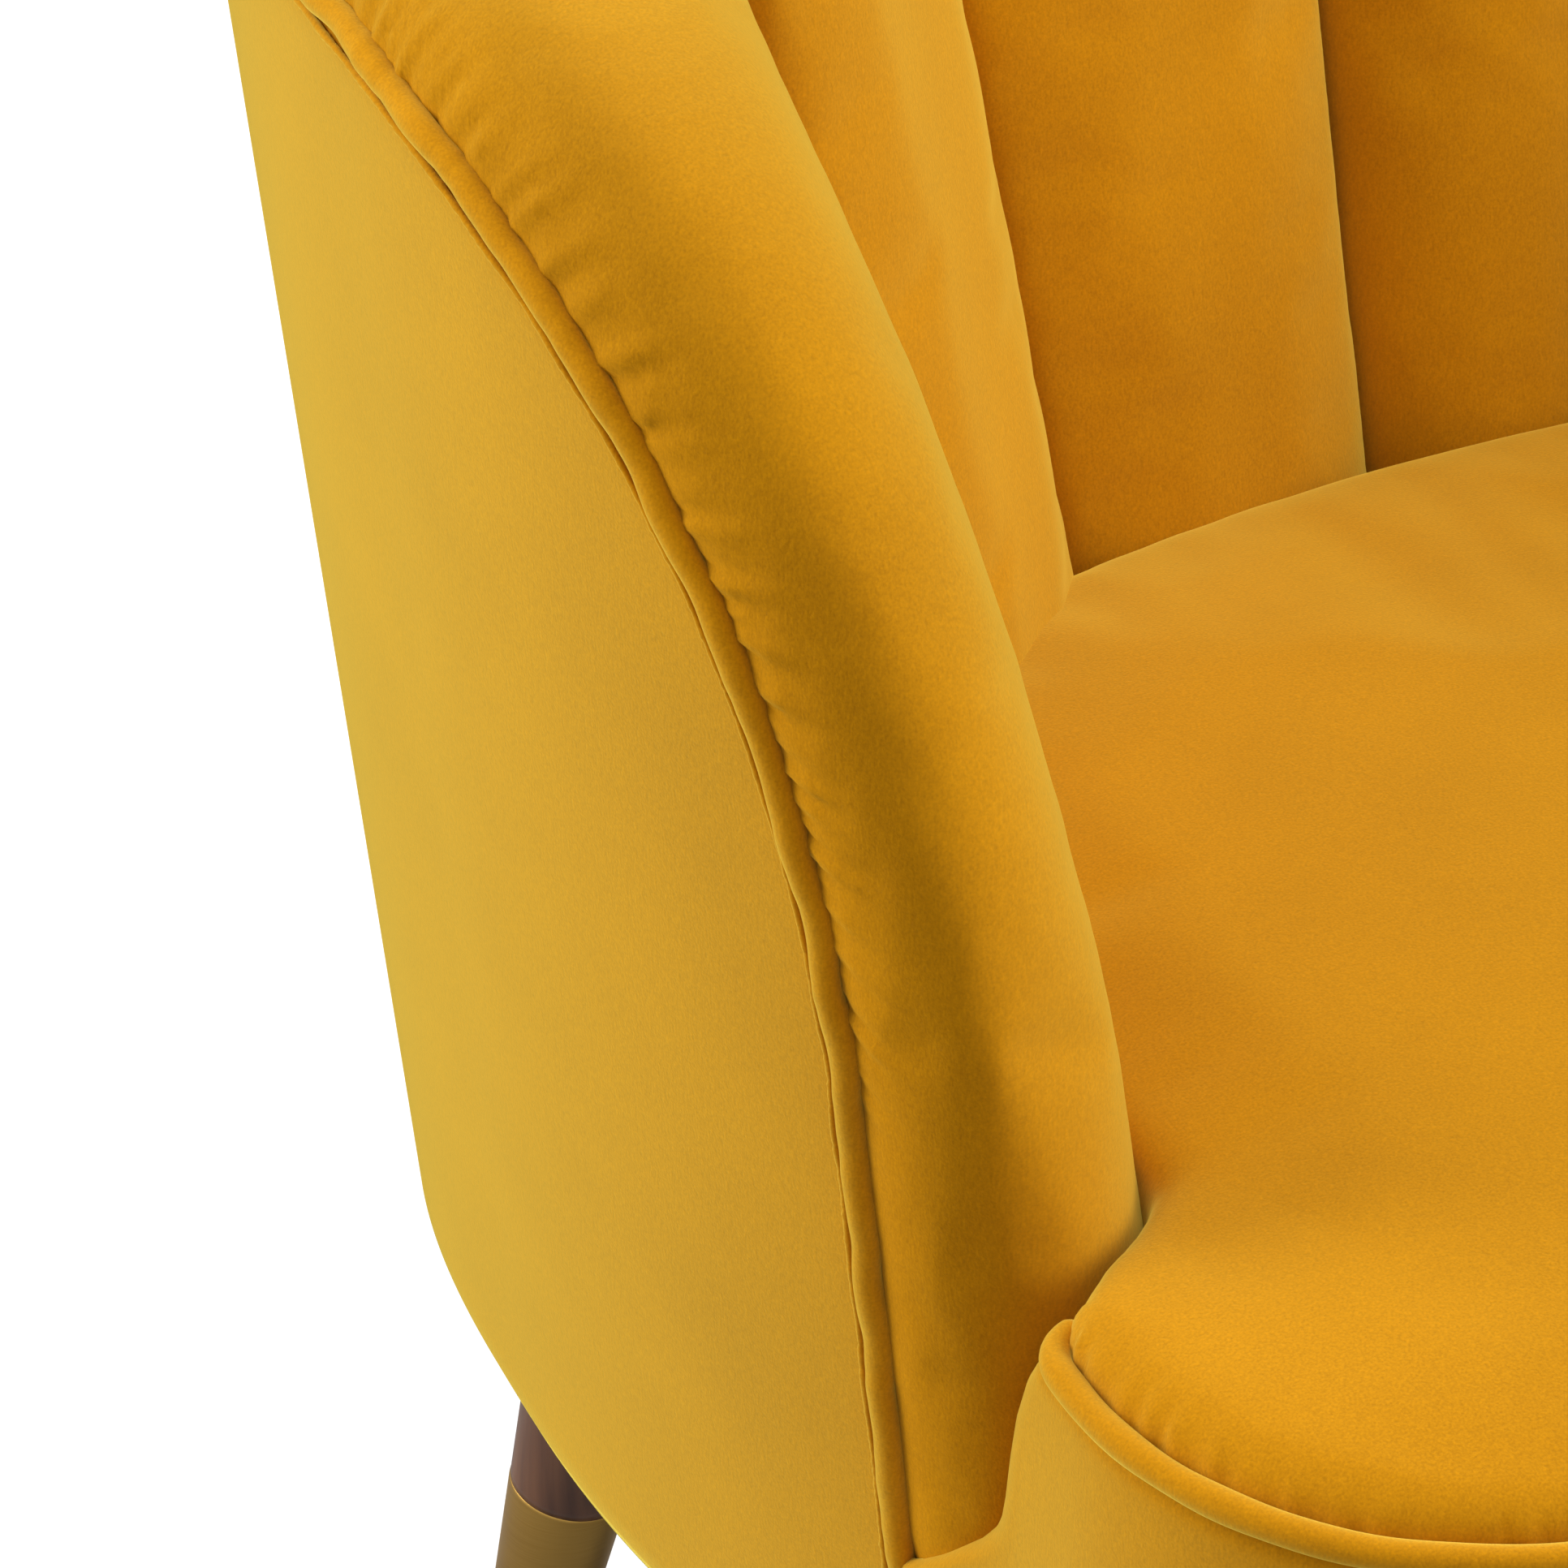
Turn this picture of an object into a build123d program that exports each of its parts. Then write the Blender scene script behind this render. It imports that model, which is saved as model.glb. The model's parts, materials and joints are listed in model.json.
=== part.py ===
"""Club chair: a channelled tub on four splayed, brass-tipped legs.

Millimetres, +Z up, the front faces -Y, origin on the floor under the middle of the chair.
The tub is drawn on upright planes that fan out from one axis: in such a plane the first
coordinate is the distance from the axis and the second is the height. Positive fan angles
are on the left of the chair (-X), and 0 looks straight at the back.
"""
import os
from math import atan2, cos, hypot, pi, radians, sin, tan

from build123d import *

os.makedirs("parts", exist_ok=True)

# Heights
base_height = 222.0
arm_height = 640.0
back_height = 752.0
sweep_start = 430.0
seat_welt_height = 404.0
seat_crown = 26.0
band_tip_height = 300.0

# Outside of the tub, measured at its lower edge
tub_half_width = 330.0
tub_back_depth = 259.0
tub_front_depth = 365.0
tub_centre_y = 17.0
tub_back_power = 2.8
tub_side_power = 2.0
outside_lean = 5.5

# Arm edge in side view: an upright front, then a full sweep back to a level arm
arm_front_y = -147.5
sweep_end_y = 30.5
sweep_fullness = 0.66

# Inside of the tub along the seams, measured at the height of the seat
seat_line = 410.0
arm_thickness = 84.0
back_thickness = 149.5
inside_centre_y = -104.5
inside_power = 2.3
arm_lean = 10.0
back_lean = 14.0

# Channels
fan_axis_y = -144.5
inner_seam_angle = 10.0
middle_seam_angle = 32.5
arm_seam_angle = 56.0
side_seam_angle = 40.0
arm_end_angle = 92.0
past_front_angle = 97.0
cord_joint_angle = 0.25
channel_shares = (0, 0.16, 0.5, 0.84, 1)
channel_crown = 16.0
seam_dip = 8.0
channel_pad = 40.0
arm_pad = 20.0
arm_crown = 6.0
roll_rise = 44.0
roll_shoulder = 0.42
band_end_fill = 0.82
crown_power = 2.2

# Seat
seat_setback = 35.0
seat_corner = 95.0
seat_front_y = -324.5
seat_waist_gap = 2.0
waist_angle = 88.0
deck_height = 296.0
border_thickness = 6.0
cushion_thickness = 16.0
cushion_tuck = 3.0
cushion_round = 15.0
crown_spread = 59.0

# Rows of the seat crown: share of its length, then the rise at its sides and middle in crowns
crown_rows = ((0, 0, 0.2), (0.2, 0, 0.8), (0.5, 0, 1), (0.8, 0, 0.7), (1, -0.4, 0))

# Boards, covers and cords
ply = 18.0
deck_ply = 12.0
liner = 4.0
cover = 4.0
rail_height = 36.0
welt_radius = 3.75
welt_stand = 1.75
strap_width = 50.0
strap_thickness = 2.0
strap_count = 5
strap_pitch = 60.0
strap_landing = 30.0
dust_cloth = 1.2
leg_hole_radius = 48.0
ring_width = 92.0
ring_corner = 46.0
window_corner = 23.0
block_width = 36.0
block_length = 54.0
block_inset = 66.0
front_block_inset = 96.0
rear_block_inset = 121.0
upright_spread = 5.0

# Legs
leg_splay = 11.5
leg_top_radius = 28.0
leg_foot_radius = 14.6
ferrule_height = 62.0
ferrule_wall = 1.5
ferrule_floor = 3.0
glide_height = 4.0
glide_radius = 11.0
plate_size = 64.0
plate_thickness = 2.5
bolt_radius = 4.0
bolt_grip = 60.0
washer_radius = 11.0
washer_thickness = 1.5
rear_leg_side = 100.0
rear_leg_back = 114.0
rear_leg_turn = 36.0
front_leg_side = 81.0
front_leg_front = 102.5
front_leg_turn = -45.0

# Clearances
soft_gap = 0.3
board_gap = 0.8
seam_gap = 0.35
fit_gap = 0.2

# Sizes and levels that follow from those above
inside_half_width = tub_half_width - arm_thickness
tub_back_y = tub_centre_y + tub_back_depth
inside_depth = tub_back_y - back_thickness - inside_centre_y
seat_half_width = tub_half_width - seat_setback
rear_leg = (tub_half_width - rear_leg_side, tub_back_y - rear_leg_back, rear_leg_turn)
front_leg = (seat_half_width - front_leg_side, seat_front_y + front_leg_front, front_leg_turn)
plate_level = base_height + dust_cloth + soft_gap
ring_level = plate_level + plate_thickness
ring_top = ring_level + ply
deck_top = deck_height + deck_ply
strap_top = deck_top + strap_thickness
foam_bottom = strap_top + soft_gap
cushion_bottom = seat_welt_height - cushion_thickness
pad_bottom = deck_top + soft_gap
band_start = 2 * welt_radius - welt_stand + board_gap + soft_gap
seat_step_y = arm_front_y - roll_rise - 3 * soft_gap


def save(piece, label):
    """Names a finished piece and writes its file."""
    piece.part.label = label
    export_step(piece.part, f"parts/{label}.step")


def inside_tub(x, y, z):
    """True within the outside face, a rounded outline that grows with height."""
    grow = (z - base_height) * tan(radians(outside_lean))
    along = y - tub_centre_y
    depth = tub_back_depth if along > 0 else tub_front_depth
    power = tub_back_power if along > 0 else tub_side_power
    return (abs(x) / (tub_half_width + grow)) ** power + (abs(along) / (depth + grow)) ** power < 1


def inside_seams(x, y, z):
    """True within the seam lines of the channels, which lean back as they rise."""
    rise = z - seat_line
    half_width = inside_half_width + rise * tan(radians(arm_lean))
    depth = inside_depth + rise * tan(radians(back_lean))
    return (abs(x) / half_width) ** inside_power + (abs(y - inside_centre_y) / depth) ** inside_power < 1


def farthest(within):
    """Largest distance for which within(distance) holds, found by halving."""
    low, high = 0.0, 2 * tub_half_width
    for _ in range(40):
        middle = (low + high) / 2
        if within(middle):
            low = middle
        else:
            high = middle
    return low


def fan_point(angle, distance):
    """Plan point at this distance from the fan axis."""
    return -distance * sin(radians(angle)), fan_axis_y + distance * cos(radians(angle))


def outside(angle, z):
    """Distance from the fan axis to the outside face."""
    return farthest(lambda distance: inside_tub(*fan_point(angle, distance), z))


def seams(angle, z):
    """Distance from the fan axis to the seam lines."""
    return farthest(lambda distance: inside_seams(*fan_point(angle, distance), z))


def side_x(y, z, within):
    """Half width of a face at this depth and height."""
    return farthest(lambda x: within(x, y, z))


def top_line(angle):
    """Height of the welt: level along the arms, rising to the middle of the back."""
    share = min(abs(angle) / arm_seam_angle, 1)
    return arm_height + (back_height - arm_height) * (1 + cos(pi * share)) / 2


def fan_plane(angle):
    """Upright plane through the fan axis."""
    a = radians(angle)
    return Plane(origin=(0, fan_axis_y, 0), x_dir=(-sin(a), cos(a), 0), z_dir=(cos(a), sin(a), 0))


def spread(start, end, count):
    """Evenly spaced values from start to end."""
    return [start + (end - start) * i / (count - 1) for i in range(count)]


def gap_angle(angle):
    """Fan angle that a seam gap takes up at the seam lines."""
    return seam_gap / seams(angle, seat_line) * 180 / pi


def fan_loft(label, angles, outline):
    """Piece lofted through one straight-sided outline per fan plane."""
    with BuildPart() as piece:
        for angle in angles:
            with BuildSketch(fan_plane(angle)):
                Polygon(*outline(angle), align=None)
        loft()
    save(piece, label)


def liner_face(angle, z):
    """Distance to the face of the liner that the channels lie against."""
    return seams(angle, z) + channel_pad


def liner_outline(angle):
    top = top_line(angle)
    return [
        (liner_face(angle, ring_top + soft_gap), ring_top + soft_gap),
        (liner_face(angle, ring_top + soft_gap) + liner, ring_top + soft_gap),
        (liner_face(angle, top) + liner, top),
        (liner_face(angle, top), top),
    ]


def rail_outline(angle):
    """Top rail between the liner and the outside cover."""
    top = top_line(angle) - soft_gap
    low = top - rail_height
    return [
        (liner_face(angle, low) + liner + board_gap, low),
        (outside(angle, low) - cover - board_gap, low),
        (outside(angle, top) - cover - board_gap, top),
        (liner_face(angle, top) + liner + board_gap, top),
    ]


def cover_outline(angle):
    """Outside cover on its board, up to the welt."""
    top = top_line(angle) - board_gap
    return [
        (outside(angle, base_height) - cover, base_height),
        (outside(angle, base_height), base_height),
        (outside(angle, top), top),
        (outside(angle, top) - cover, top),
    ]


# Channels: each runs up the inside, over the top and down to the welt

def channel(label, start, end):
    """Padded channel between two seams, crowned across its width and rolled over the top."""
    with BuildPart() as piece:
        for share in channel_shares:
            first = start + gap_angle(start)
            last = end - gap_angle(end)
            angle = first + (last - first) * share
            fill = 1 - abs(2 * share - 1) ** crown_power
            top = top_line(angle)
            lip = outside(angle, top) - band_start
            face_low = (seams(angle, pad_bottom) - fill * channel_crown, pad_bottom)
            face_top = (seams(angle, top) - fill * channel_crown, top)
            lip_top = (lip, top + welt_radius)
            lip_low = (lip, top + board_gap)
            back_top = (liner_face(angle, top) - board_gap, top + board_gap)
            back_low = (liner_face(angle, pad_bottom) - board_gap, pad_bottom)
            rise = roll_rise - seam_dip * (1 - fill)
            apex = ((face_top[0] + lip) / 2, top + rise)
            with BuildSketch(fan_plane(angle)):
                with BuildLine():
                    Polyline(lip_top, lip_low, back_top, back_low, face_low, face_top)
                    ThreePointArc(face_top, apex, lip_top)
                make_face()
        loft()
    save(piece, label)


channel("channel_centre", -inner_seam_angle, inner_seam_angle)
channel("channel_inner_left", inner_seam_angle, middle_seam_angle)
channel("channel_inner_right", -middle_seam_angle, -inner_seam_angle)
channel("channel_outer_left", middle_seam_angle, arm_seam_angle)
channel("channel_outer_right", -arm_seam_angle, -middle_seam_angle)


# Liner, top rail and uprights of the back

back_angles = spread(-middle_seam_angle, middle_seam_angle, 7)
fan_loft("back_liner", back_angles, liner_outline)
fan_loft("top_rail_back", back_angles, rail_outline)
for side, sign in (("left", 1), ("right", -1)):
    corner_angles = spread(sign * middle_seam_angle, sign * arm_seam_angle, 5)
    fan_loft(f"corner_liner_{side}", corner_angles, liner_outline)
    fan_loft(f"top_rail_{side}", corner_angles, rail_outline)


def upright(label, angle):
    """Plywood upright that fills the hollow wall from the base ring to the top rail."""
    with BuildPart() as piece:
        for near in spread(angle - upright_spread, angle + upright_spread, 3):
            low, high = ring_top, top_line(near) - rail_height - board_gap
            with BuildSketch(fan_plane(near)):
                Polygon(
                    (liner_face(near, low) + liner + board_gap, low),
                    (outside(near, low) - cover - board_gap, low),
                    (outside(near, high) - cover - board_gap, high),
                    (liner_face(near, high) + liner + board_gap, high),
                    align=None,
                )
        loft()
        with BuildSketch(fan_plane(angle)):
            Rectangle(4 * tub_half_width, 4 * back_height)
        extrude(amount=ply / 2, both=True, mode=Mode.INTERSECT)
    save(piece, label)


upright_angle = (inner_seam_angle + middle_seam_angle) / 2
corner_angle = (middle_seam_angle + arm_seam_angle) / 2
upright("back_upright_left", upright_angle)
upright("back_upright_right", -upright_angle)
upright("corner_upright_left", corner_angle)
upright("corner_upright_right", -corner_angle)


# Arm edge, seen from the side

def sweep_point(share):
    """Point and direction on the sweep, a cubic curve from the upright front to the level arm."""
    y = (arm_front_y, arm_front_y, sweep_end_y - sweep_fullness * (sweep_end_y - arm_front_y), sweep_end_y)
    z = (sweep_start, sweep_start + sweep_fullness * (arm_height - sweep_start), arm_height, arm_height)
    s, t = 1 - share, share
    place = [s**3 * p[0] + 3 * s * s * t * p[1] + 3 * s * t * t * p[2] + t**3 * p[3] for p in (y, z)]
    turn = [s * s * (p[1] - p[0]) + 2 * s * t * (p[2] - p[1]) + t * t * (p[3] - p[2]) for p in (y, z)]
    return place, turn


def sweep_curve(inset=0.0):
    """The same sweep drawn as a line on the side plane, moved inwards by inset."""
    reach_y = sweep_fullness * (sweep_end_y - arm_front_y)
    reach_z = sweep_fullness * (arm_height - sweep_start)
    Bezier(
        (arm_front_y + inset, sweep_start),
        (arm_front_y + inset, sweep_start + reach_z - inset),
        (sweep_end_y - reach_y + inset, arm_height - inset),
        (sweep_end_y, arm_height - inset),
    )


def front_clearing():
    """Takes away what lies before the arm front and above the sweep."""
    beyond = arm_front_y - tub_front_depth
    above = back_height + 2 * roll_rise
    with BuildSketch(Plane.YZ) as clearing:
        with BuildLine():
            sweep_curve()
            Polyline(
                (sweep_end_y, arm_height),
                (sweep_end_y, above),
                (beyond, above),
                (beyond, 0),
                (arm_front_y, 0),
                (arm_front_y, sweep_start),
            )
        make_face()
    extrude(clearing.sketch, amount=2 * tub_half_width, both=True, mode=Mode.SUBTRACT)


# Outside covers

fan_loft("outside_back_cover", spread(-side_seam_angle, side_seam_angle, 9), cover_outline)
for side, sign in (("left", 1), ("right", -1)):
    rear_part = spread(side_seam_angle + gap_angle(side_seam_angle), arm_seam_angle, 4)
    front_part = spread(arm_seam_angle, past_front_angle, 6)
    with BuildPart() as arm_cover:
        for angle in rear_part + front_part[1:]:
            with BuildSketch(fan_plane(sign * angle)):
                Polygon(*cover_outline(angle), align=None)
        loft()
        front_clearing()
    save(arm_cover, f"outside_arm_cover_{side}")


# Arm bands: the padded front channel of each arm, from its tip to the first back channel

def edge_stations(first_height):
    """Places along the arm edge: height up the front, round the sweep, then level to the rear."""
    front = [((arm_front_y, z), (0, 1)) for z in (first_height, (first_height + sweep_start) / 2)]
    sweep = [sweep_point(share) for share in spread(0, 1, 6)]
    rear_y = fan_point(arm_seam_angle, outside(arm_seam_angle, arm_height))[1] + channel_pad
    level = [((y, arm_height), (1, 0)) for y in ((sweep_end_y + rear_y) / 2, rear_y)]
    return front + sweep + level


def edge_plane(place, turn, sign):
    """Plane across the arm edge, x inwards from the outside face, y away from the arm."""
    y, z = place
    x = -sign * side_x(y, z, inside_tub)
    return Plane(origin=(x, y, z), x_dir=(sign, 0, 0), z_dir=(0, -sign * turn[0], -sign * turn[1]))


def welt_point(place, turn, sign):
    """Middle of the cord that lies along the arm edge."""
    y, z = place
    lift = (welt_radius + board_gap) / hypot(*turn)
    x = side_x(y, z, inside_tub) - welt_radius + welt_stand
    return -sign * x, y - turn[1] * lift, z + turn[0] * lift


def back_welt_point(angle):
    """Middle of the cord that lies along the top of the back."""
    top = top_line(angle)
    x, y = fan_point(angle, outside(angle, top) - welt_radius + welt_stand)
    return x, y, top + welt_radius + board_gap


def seam_plane(sign, shift):
    """Fan plane of the arm seam, moved towards the front."""
    a = radians(sign * arm_seam_angle)
    return Plane(
        origin=(-sign * shift * cos(a), fan_axis_y - abs(shift * sin(a)), 0),
        x_dir=(-sin(a), cos(a), 0),
        z_dir=(-sign * cos(a), -abs(sin(a)), 0),
    )


def band_section(place, turn, sign, fill=1.0, grow=0.0):
    """Half round of an arm band across the arm edge, larger all round by grow."""
    y, z = place
    start = band_start - grow
    width = side_x(y, z, inside_tub) - side_x(y, z, inside_seams) + grow
    shoulder = roll_rise * roll_shoulder * fill
    crest = ((start + width) / 2, roll_rise * fill + grow)
    with BuildSketch(edge_plane(place, turn, sign)) as section:
        with BuildLine():
            Polyline((start, shoulder), (start, board_gap), (width, board_gap), (width, shoulder))
            ThreePointArc((start, shoulder), crest, (width, shoulder))
        make_face()
    return section.sketch


def band_clearing(grow):
    """Takes away the room of both arm bands below the sweep."""
    for sign in (1, -1):
        heights = (band_tip_height - grow, sweep_start)
        sections = [band_section((arm_front_y, z), (0, 1), sign, grow=grow) for z in heights]
        loft(sections, mode=Mode.SUBTRACT)


for side, sign in (("left", 1), ("right", -1)):
    stations = edge_stations(band_tip_height)
    ends = (stations[0][0], stations[-1][0])
    with BuildPart() as band:
        loft([band_section(*stop, sign, band_end_fill if stop[0] in ends else 1) for stop in stations])
        split(bisect_by=seam_plane(sign, seam_gap), keep=Keep.TOP)
    save(band, f"arm_band_{side}")

    with BuildPart() as arm_welt:
        with BuildLine() as arm_cord:
            Spline(*[welt_point(place, turn, sign) for place, turn in edge_stations(base_height + soft_gap)])
        with BuildSketch(Plane(origin=arm_cord.line @ 0, z_dir=arm_cord.line % 0)):
            Circle(welt_radius)
        sweep()
        split(bisect_by=seam_plane(sign, seam_gap), keep=Keep.TOP)
    save(arm_welt, f"arm_welt_{side}")

with BuildPart() as back_welt:
    last_angle = arm_seam_angle - cord_joint_angle
    with BuildLine() as back_cord:
        Spline(*[back_welt_point(angle) for angle in spread(-last_angle, last_angle, 17)])
    with BuildSketch(Plane(origin=back_cord.line @ 0, z_dir=back_cord.line % 0)):
        Circle(welt_radius)
    sweep()
save(back_welt, "back_welt")


# Inside of the arms and the boards within them

arm_board_rear = fan_point(arm_seam_angle, seams(arm_seam_angle, arm_height - soft_gap) + arm_pad)[1]


def arm_hollow_middle(z):
    """Half way between the inside pad and the outside cover at the arm front."""
    pad_back = side_x(arm_front_y, z, inside_seams) + arm_pad
    return (pad_back + side_x(arm_front_y, z, inside_tub) - cover) / 2


for side, sign in (("left", 1), ("right", -1)):
    with BuildPart() as inside_arm:
        for angle in spread(sign * arm_seam_angle, sign * arm_end_angle, 5):
            share = (abs(angle) - arm_seam_angle) / (arm_end_angle - arm_seam_angle)
            fill = (1 - abs(2 * share - 1) ** crown_power) * arm_crown
            low, high = pad_bottom, arm_height - soft_gap
            with BuildSketch(fan_plane(angle)):
                Polygon(
                    (seams(angle, low) - fill, low),
                    (seams(angle, low) + arm_pad, low),
                    (seams(angle, high) + arm_pad, high),
                    (seams(angle, high) - fill, high),
                    align=None,
                )
        loft()
        split(bisect_by=seam_plane(sign, seam_gap), keep=Keep.TOP)
        front_clearing()
    save(inside_arm, f"inside_arm_{side}")

    low_x, high_x = arm_hollow_middle(ring_top), arm_hollow_middle(sweep_start)
    lean = atan2(high_x - low_x, sweep_start - ring_top)
    board_plane = Plane(
        origin=(-sign * low_x, 0, ring_top),
        x_dir=(0, 1, 0),
        z_dir=(cos(lean), 0, sign * sin(lean)),
    )
    with BuildPart() as arm_board:
        with BuildSketch(Plane.YZ):
            with BuildLine():
                sweep_curve(inset=soft_gap)
                Polyline(
                    (sweep_end_y, arm_height - soft_gap),
                    (arm_board_rear, arm_height - soft_gap),
                    (arm_board_rear, ring_top),
                    (arm_front_y + soft_gap, ring_top),
                    (arm_front_y + soft_gap, sweep_start),
                )
            make_face()
        extrude(amount=2 * tub_half_width, both=True)
        with BuildSketch(board_plane):
            Rectangle(4 * tub_half_width, 4 * arm_height)
        extrude(amount=ply / 2, both=True, mode=Mode.INTERSECT)
    save(arm_board, f"arm_board_{side}")


# Base ring, seat deck and what lies on it

def front_outline(inset, rear_y, mode=Mode.ADD):
    """Straight-sided front of the seat with two round corners."""
    half, front, corner = seat_half_width - inset, seat_front_y + inset, seat_corner - inset
    slant = corner * (1 - cos(pi / 4))
    with BuildLine() as outline:
        Polyline((-half, front + corner), (-half, rear_y), (half, rear_y), (half, front + corner))
        ThreePointArc((half, front + corner), (half - slant, front + slant), (half - corner, front))
        Line((half - corner, front), (-half + corner, front))
        ThreePointArc((-half + corner, front), (-half + slant, front + slant), (-half, front + corner))
    make_face(outline.edges(), mode=mode)


def tub_outline(inset, z):
    """Plan of the tub at one height, closed across the arm fronts."""
    angles = spread(-arm_end_angle, arm_end_angle, 15)
    points = [fan_point(angle, outside(angle, z) - inset) for angle in angles]
    with BuildLine() as outline:
        Spline(*points)
        Line(points[-1], points[0])
    make_face(outline.edges())


def seat_outline(z, inset=0.0, ear_rear=seat_step_y):
    """Seat plan: wide ears before the arms, a waist between them and a rounded rear."""

    def rear(angle):
        crown = arm_crown if abs(angle) == waist_angle else channel_crown
        return fan_point(angle, seams(angle, z) - crown - seat_waist_gap - inset)

    half, front, corner = seat_half_width - inset, seat_front_y + inset, seat_corner - inset
    slant = corner * (1 - cos(pi / 4))
    step = ear_rear - inset
    waist = -rear(waist_angle)[0]
    with BuildLine() as outline:
        Line((-half + corner, front), (half - corner, front))
        ThreePointArc((half - corner, front), (half - slant, front + slant), (half, front + corner))
        Polyline((half, front + corner), (half, step), (waist, step), rear(-waist_angle))
        ThreePointArc(rear(-waist_angle), rear(-arm_seam_angle), rear(-middle_seam_angle))
        ThreePointArc(rear(-middle_seam_angle), rear(0), rear(middle_seam_angle))
        ThreePointArc(rear(middle_seam_angle), rear(arm_seam_angle), rear(waist_angle))
        Polyline(rear(waist_angle), (-waist, step), (-half, step), (-half, front + corner))
        ThreePointArc((-half, front + corner), (-half + slant, front + slant), (-half + corner, front))
    make_face(outline.edges())


def leg_axis(leg, sign):
    """Foot centre on the floor, upward axis and plan centre of the leg top."""
    x, y, turn = leg
    out = (sign * -cos(radians(turn)), sin(radians(turn)))
    drift = plate_level * tan(radians(leg_splay))
    foot = (-sign * x + out[0] * drift, y + out[1] * drift, 0)
    axis = (-out[0] * tan(radians(leg_splay)), -out[1] * tan(radians(leg_splay)), 1)
    return Plane(origin=foot, z_dir=axis), (-sign * x, y)


legs = {
    "front_left": leg_axis(front_leg, 1),
    "front_right": leg_axis(front_leg, -1),
    "rear_left": leg_axis(rear_leg, 1),
    "rear_right": leg_axis(rear_leg, -1),
}


def bolt_holes():
    """Clearance for the leg bolts."""
    for axis_plane, _ in legs.values():
        with BuildSketch(axis_plane) as hole:
            Circle(bolt_radius + fit_gap)
        extrude(hole.sketch, amount=2 * base_height, mode=Mode.SUBTRACT)


def base_outline():
    """Plan of the base: the rounded seat front joined to the tub, clear of the welts."""
    front_outline(border_thickness, arm_front_y - welt_radius)
    tub_outline(cover + 2 * board_gap, base_height)
    welt_x = side_x(arm_front_y, base_height, inside_tub) - welt_radius + welt_stand
    with Locations((-welt_x, arm_front_y - welt_radius), (welt_x, arm_front_y - welt_radius)):
        Circle(2 * welt_radius, mode=Mode.SUBTRACT)


with BuildPart() as base_ring:
    with BuildSketch(Plane.XY.offset(ring_level)):
        base_outline()
    extrude(amount=ply)
    with BuildSketch(Plane.XY.offset(ring_level)):
        half = inside_half_width - ring_width
        front, rear = seat_front_y + ring_width, tub_centre_y - block_length
        with Locations((0, (front + rear) / 2)):
            RectangleRounded(2 * half, rear - front, ring_corner)
    extrude(amount=ply, mode=Mode.SUBTRACT)
    bolt_holes()
save(base_ring, "base_ring")

webbing_middle = (0, (seat_front_y + fan_axis_y) / 2 + ring_width)
window_width = 2 * (inside_half_width - ring_width)
with BuildPart() as seat_deck:
    with BuildSketch(Plane.XY.offset(deck_height)):
        seat_outline(deck_height, inset=border_thickness)
    extrude(amount=deck_ply)
    with BuildSketch(Plane.XY.offset(deck_height)):
        with Locations(webbing_middle):
            RectangleRounded(window_width, strap_count * strap_pitch, window_corner)
    extrude(amount=deck_ply, mode=Mode.SUBTRACT)
save(seat_deck, "seat_deck")

block_places = (
    (seat_half_width - front_block_inset, seat_front_y + ring_width - block_width),
    (inside_half_width - block_inset, fan_axis_y - ply),
    (inside_half_width - rear_block_inset, tub_centre_y),
)
with BuildPart() as deck_blocks:
    with BuildSketch(Plane.XY.offset(ring_top)):
        for across, along in block_places:
            with Locations((-across, along), (across, along)):
                Rectangle(block_width, block_length)
    extrude(amount=deck_height - ring_top)
save(deck_blocks, "deck_blocks")

with BuildPart() as seat_webbing:
    with BuildSketch(Plane.XY.offset(deck_top)):
        with Locations(webbing_middle):
            with GridLocations(0, strap_pitch, 1, strap_count):
                Rectangle(window_width + 2 * strap_landing, strap_width)
    extrude(amount=strap_thickness)
save(seat_webbing, "seat_webbing")

with BuildPart() as seat_foam:
    with BuildSketch(Plane.XY.offset(foam_bottom)):
        seat_outline(foam_bottom, inset=border_thickness + soft_gap)
    extrude(amount=cushion_bottom - soft_gap - foam_bottom)
save(seat_foam, "seat_foam")


def crown_section(y, side_rise, middle_rise):
    """Front view of the seat at one depth: flat below, an arc above."""
    half = seat_half_width + crown_spread
    edge = seat_welt_height + side_rise * seat_crown
    middle = seat_welt_height + middle_rise * seat_crown
    with BuildSketch(Plane(origin=(0, y, 0), x_dir=(1, 0, 0), z_dir=(0, -1, 0))) as section:
        with BuildLine():
            Polyline((-half, edge), (-half, cushion_bottom), (half, cushion_bottom), (half, edge))
            ThreePointArc((half, edge), (0, middle), (-half, edge))
        make_face()
    return section.sketch


with BuildPart() as seat_cushion:
    crown_top = seat_welt_height + seat_crown
    seat_rear_y = fan_axis_y + seams(0, cushion_bottom)
    seat_length = seat_rear_y - seat_front_y
    over_welt = seat_welt_height + 2 * soft_gap
    cushion_levels = (
        (cushion_bottom, border_thickness + cushion_tuck),
        (over_welt, welt_radius + board_gap),
        (over_welt + cushion_tuck, cushion_tuck / 2),
        (over_welt + 2 * cushion_tuck, cushion_tuck),
        (crown_top + cushion_tuck, cushion_round),
    )
    for level, inset in cushion_levels:
        with BuildSketch(Plane.XY.offset(level)):
            seat_outline(cushion_bottom, inset, ear_rear=arm_front_y)
    loft(ruled=True)
    crown = [crown_section(seat_front_y + share * seat_length, *rises) for share, *rises in crown_rows]
    loft(crown, mode=Mode.INTERSECT)
    band_clearing(2 * soft_gap)
save(seat_cushion, "seat_cushion")

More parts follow.
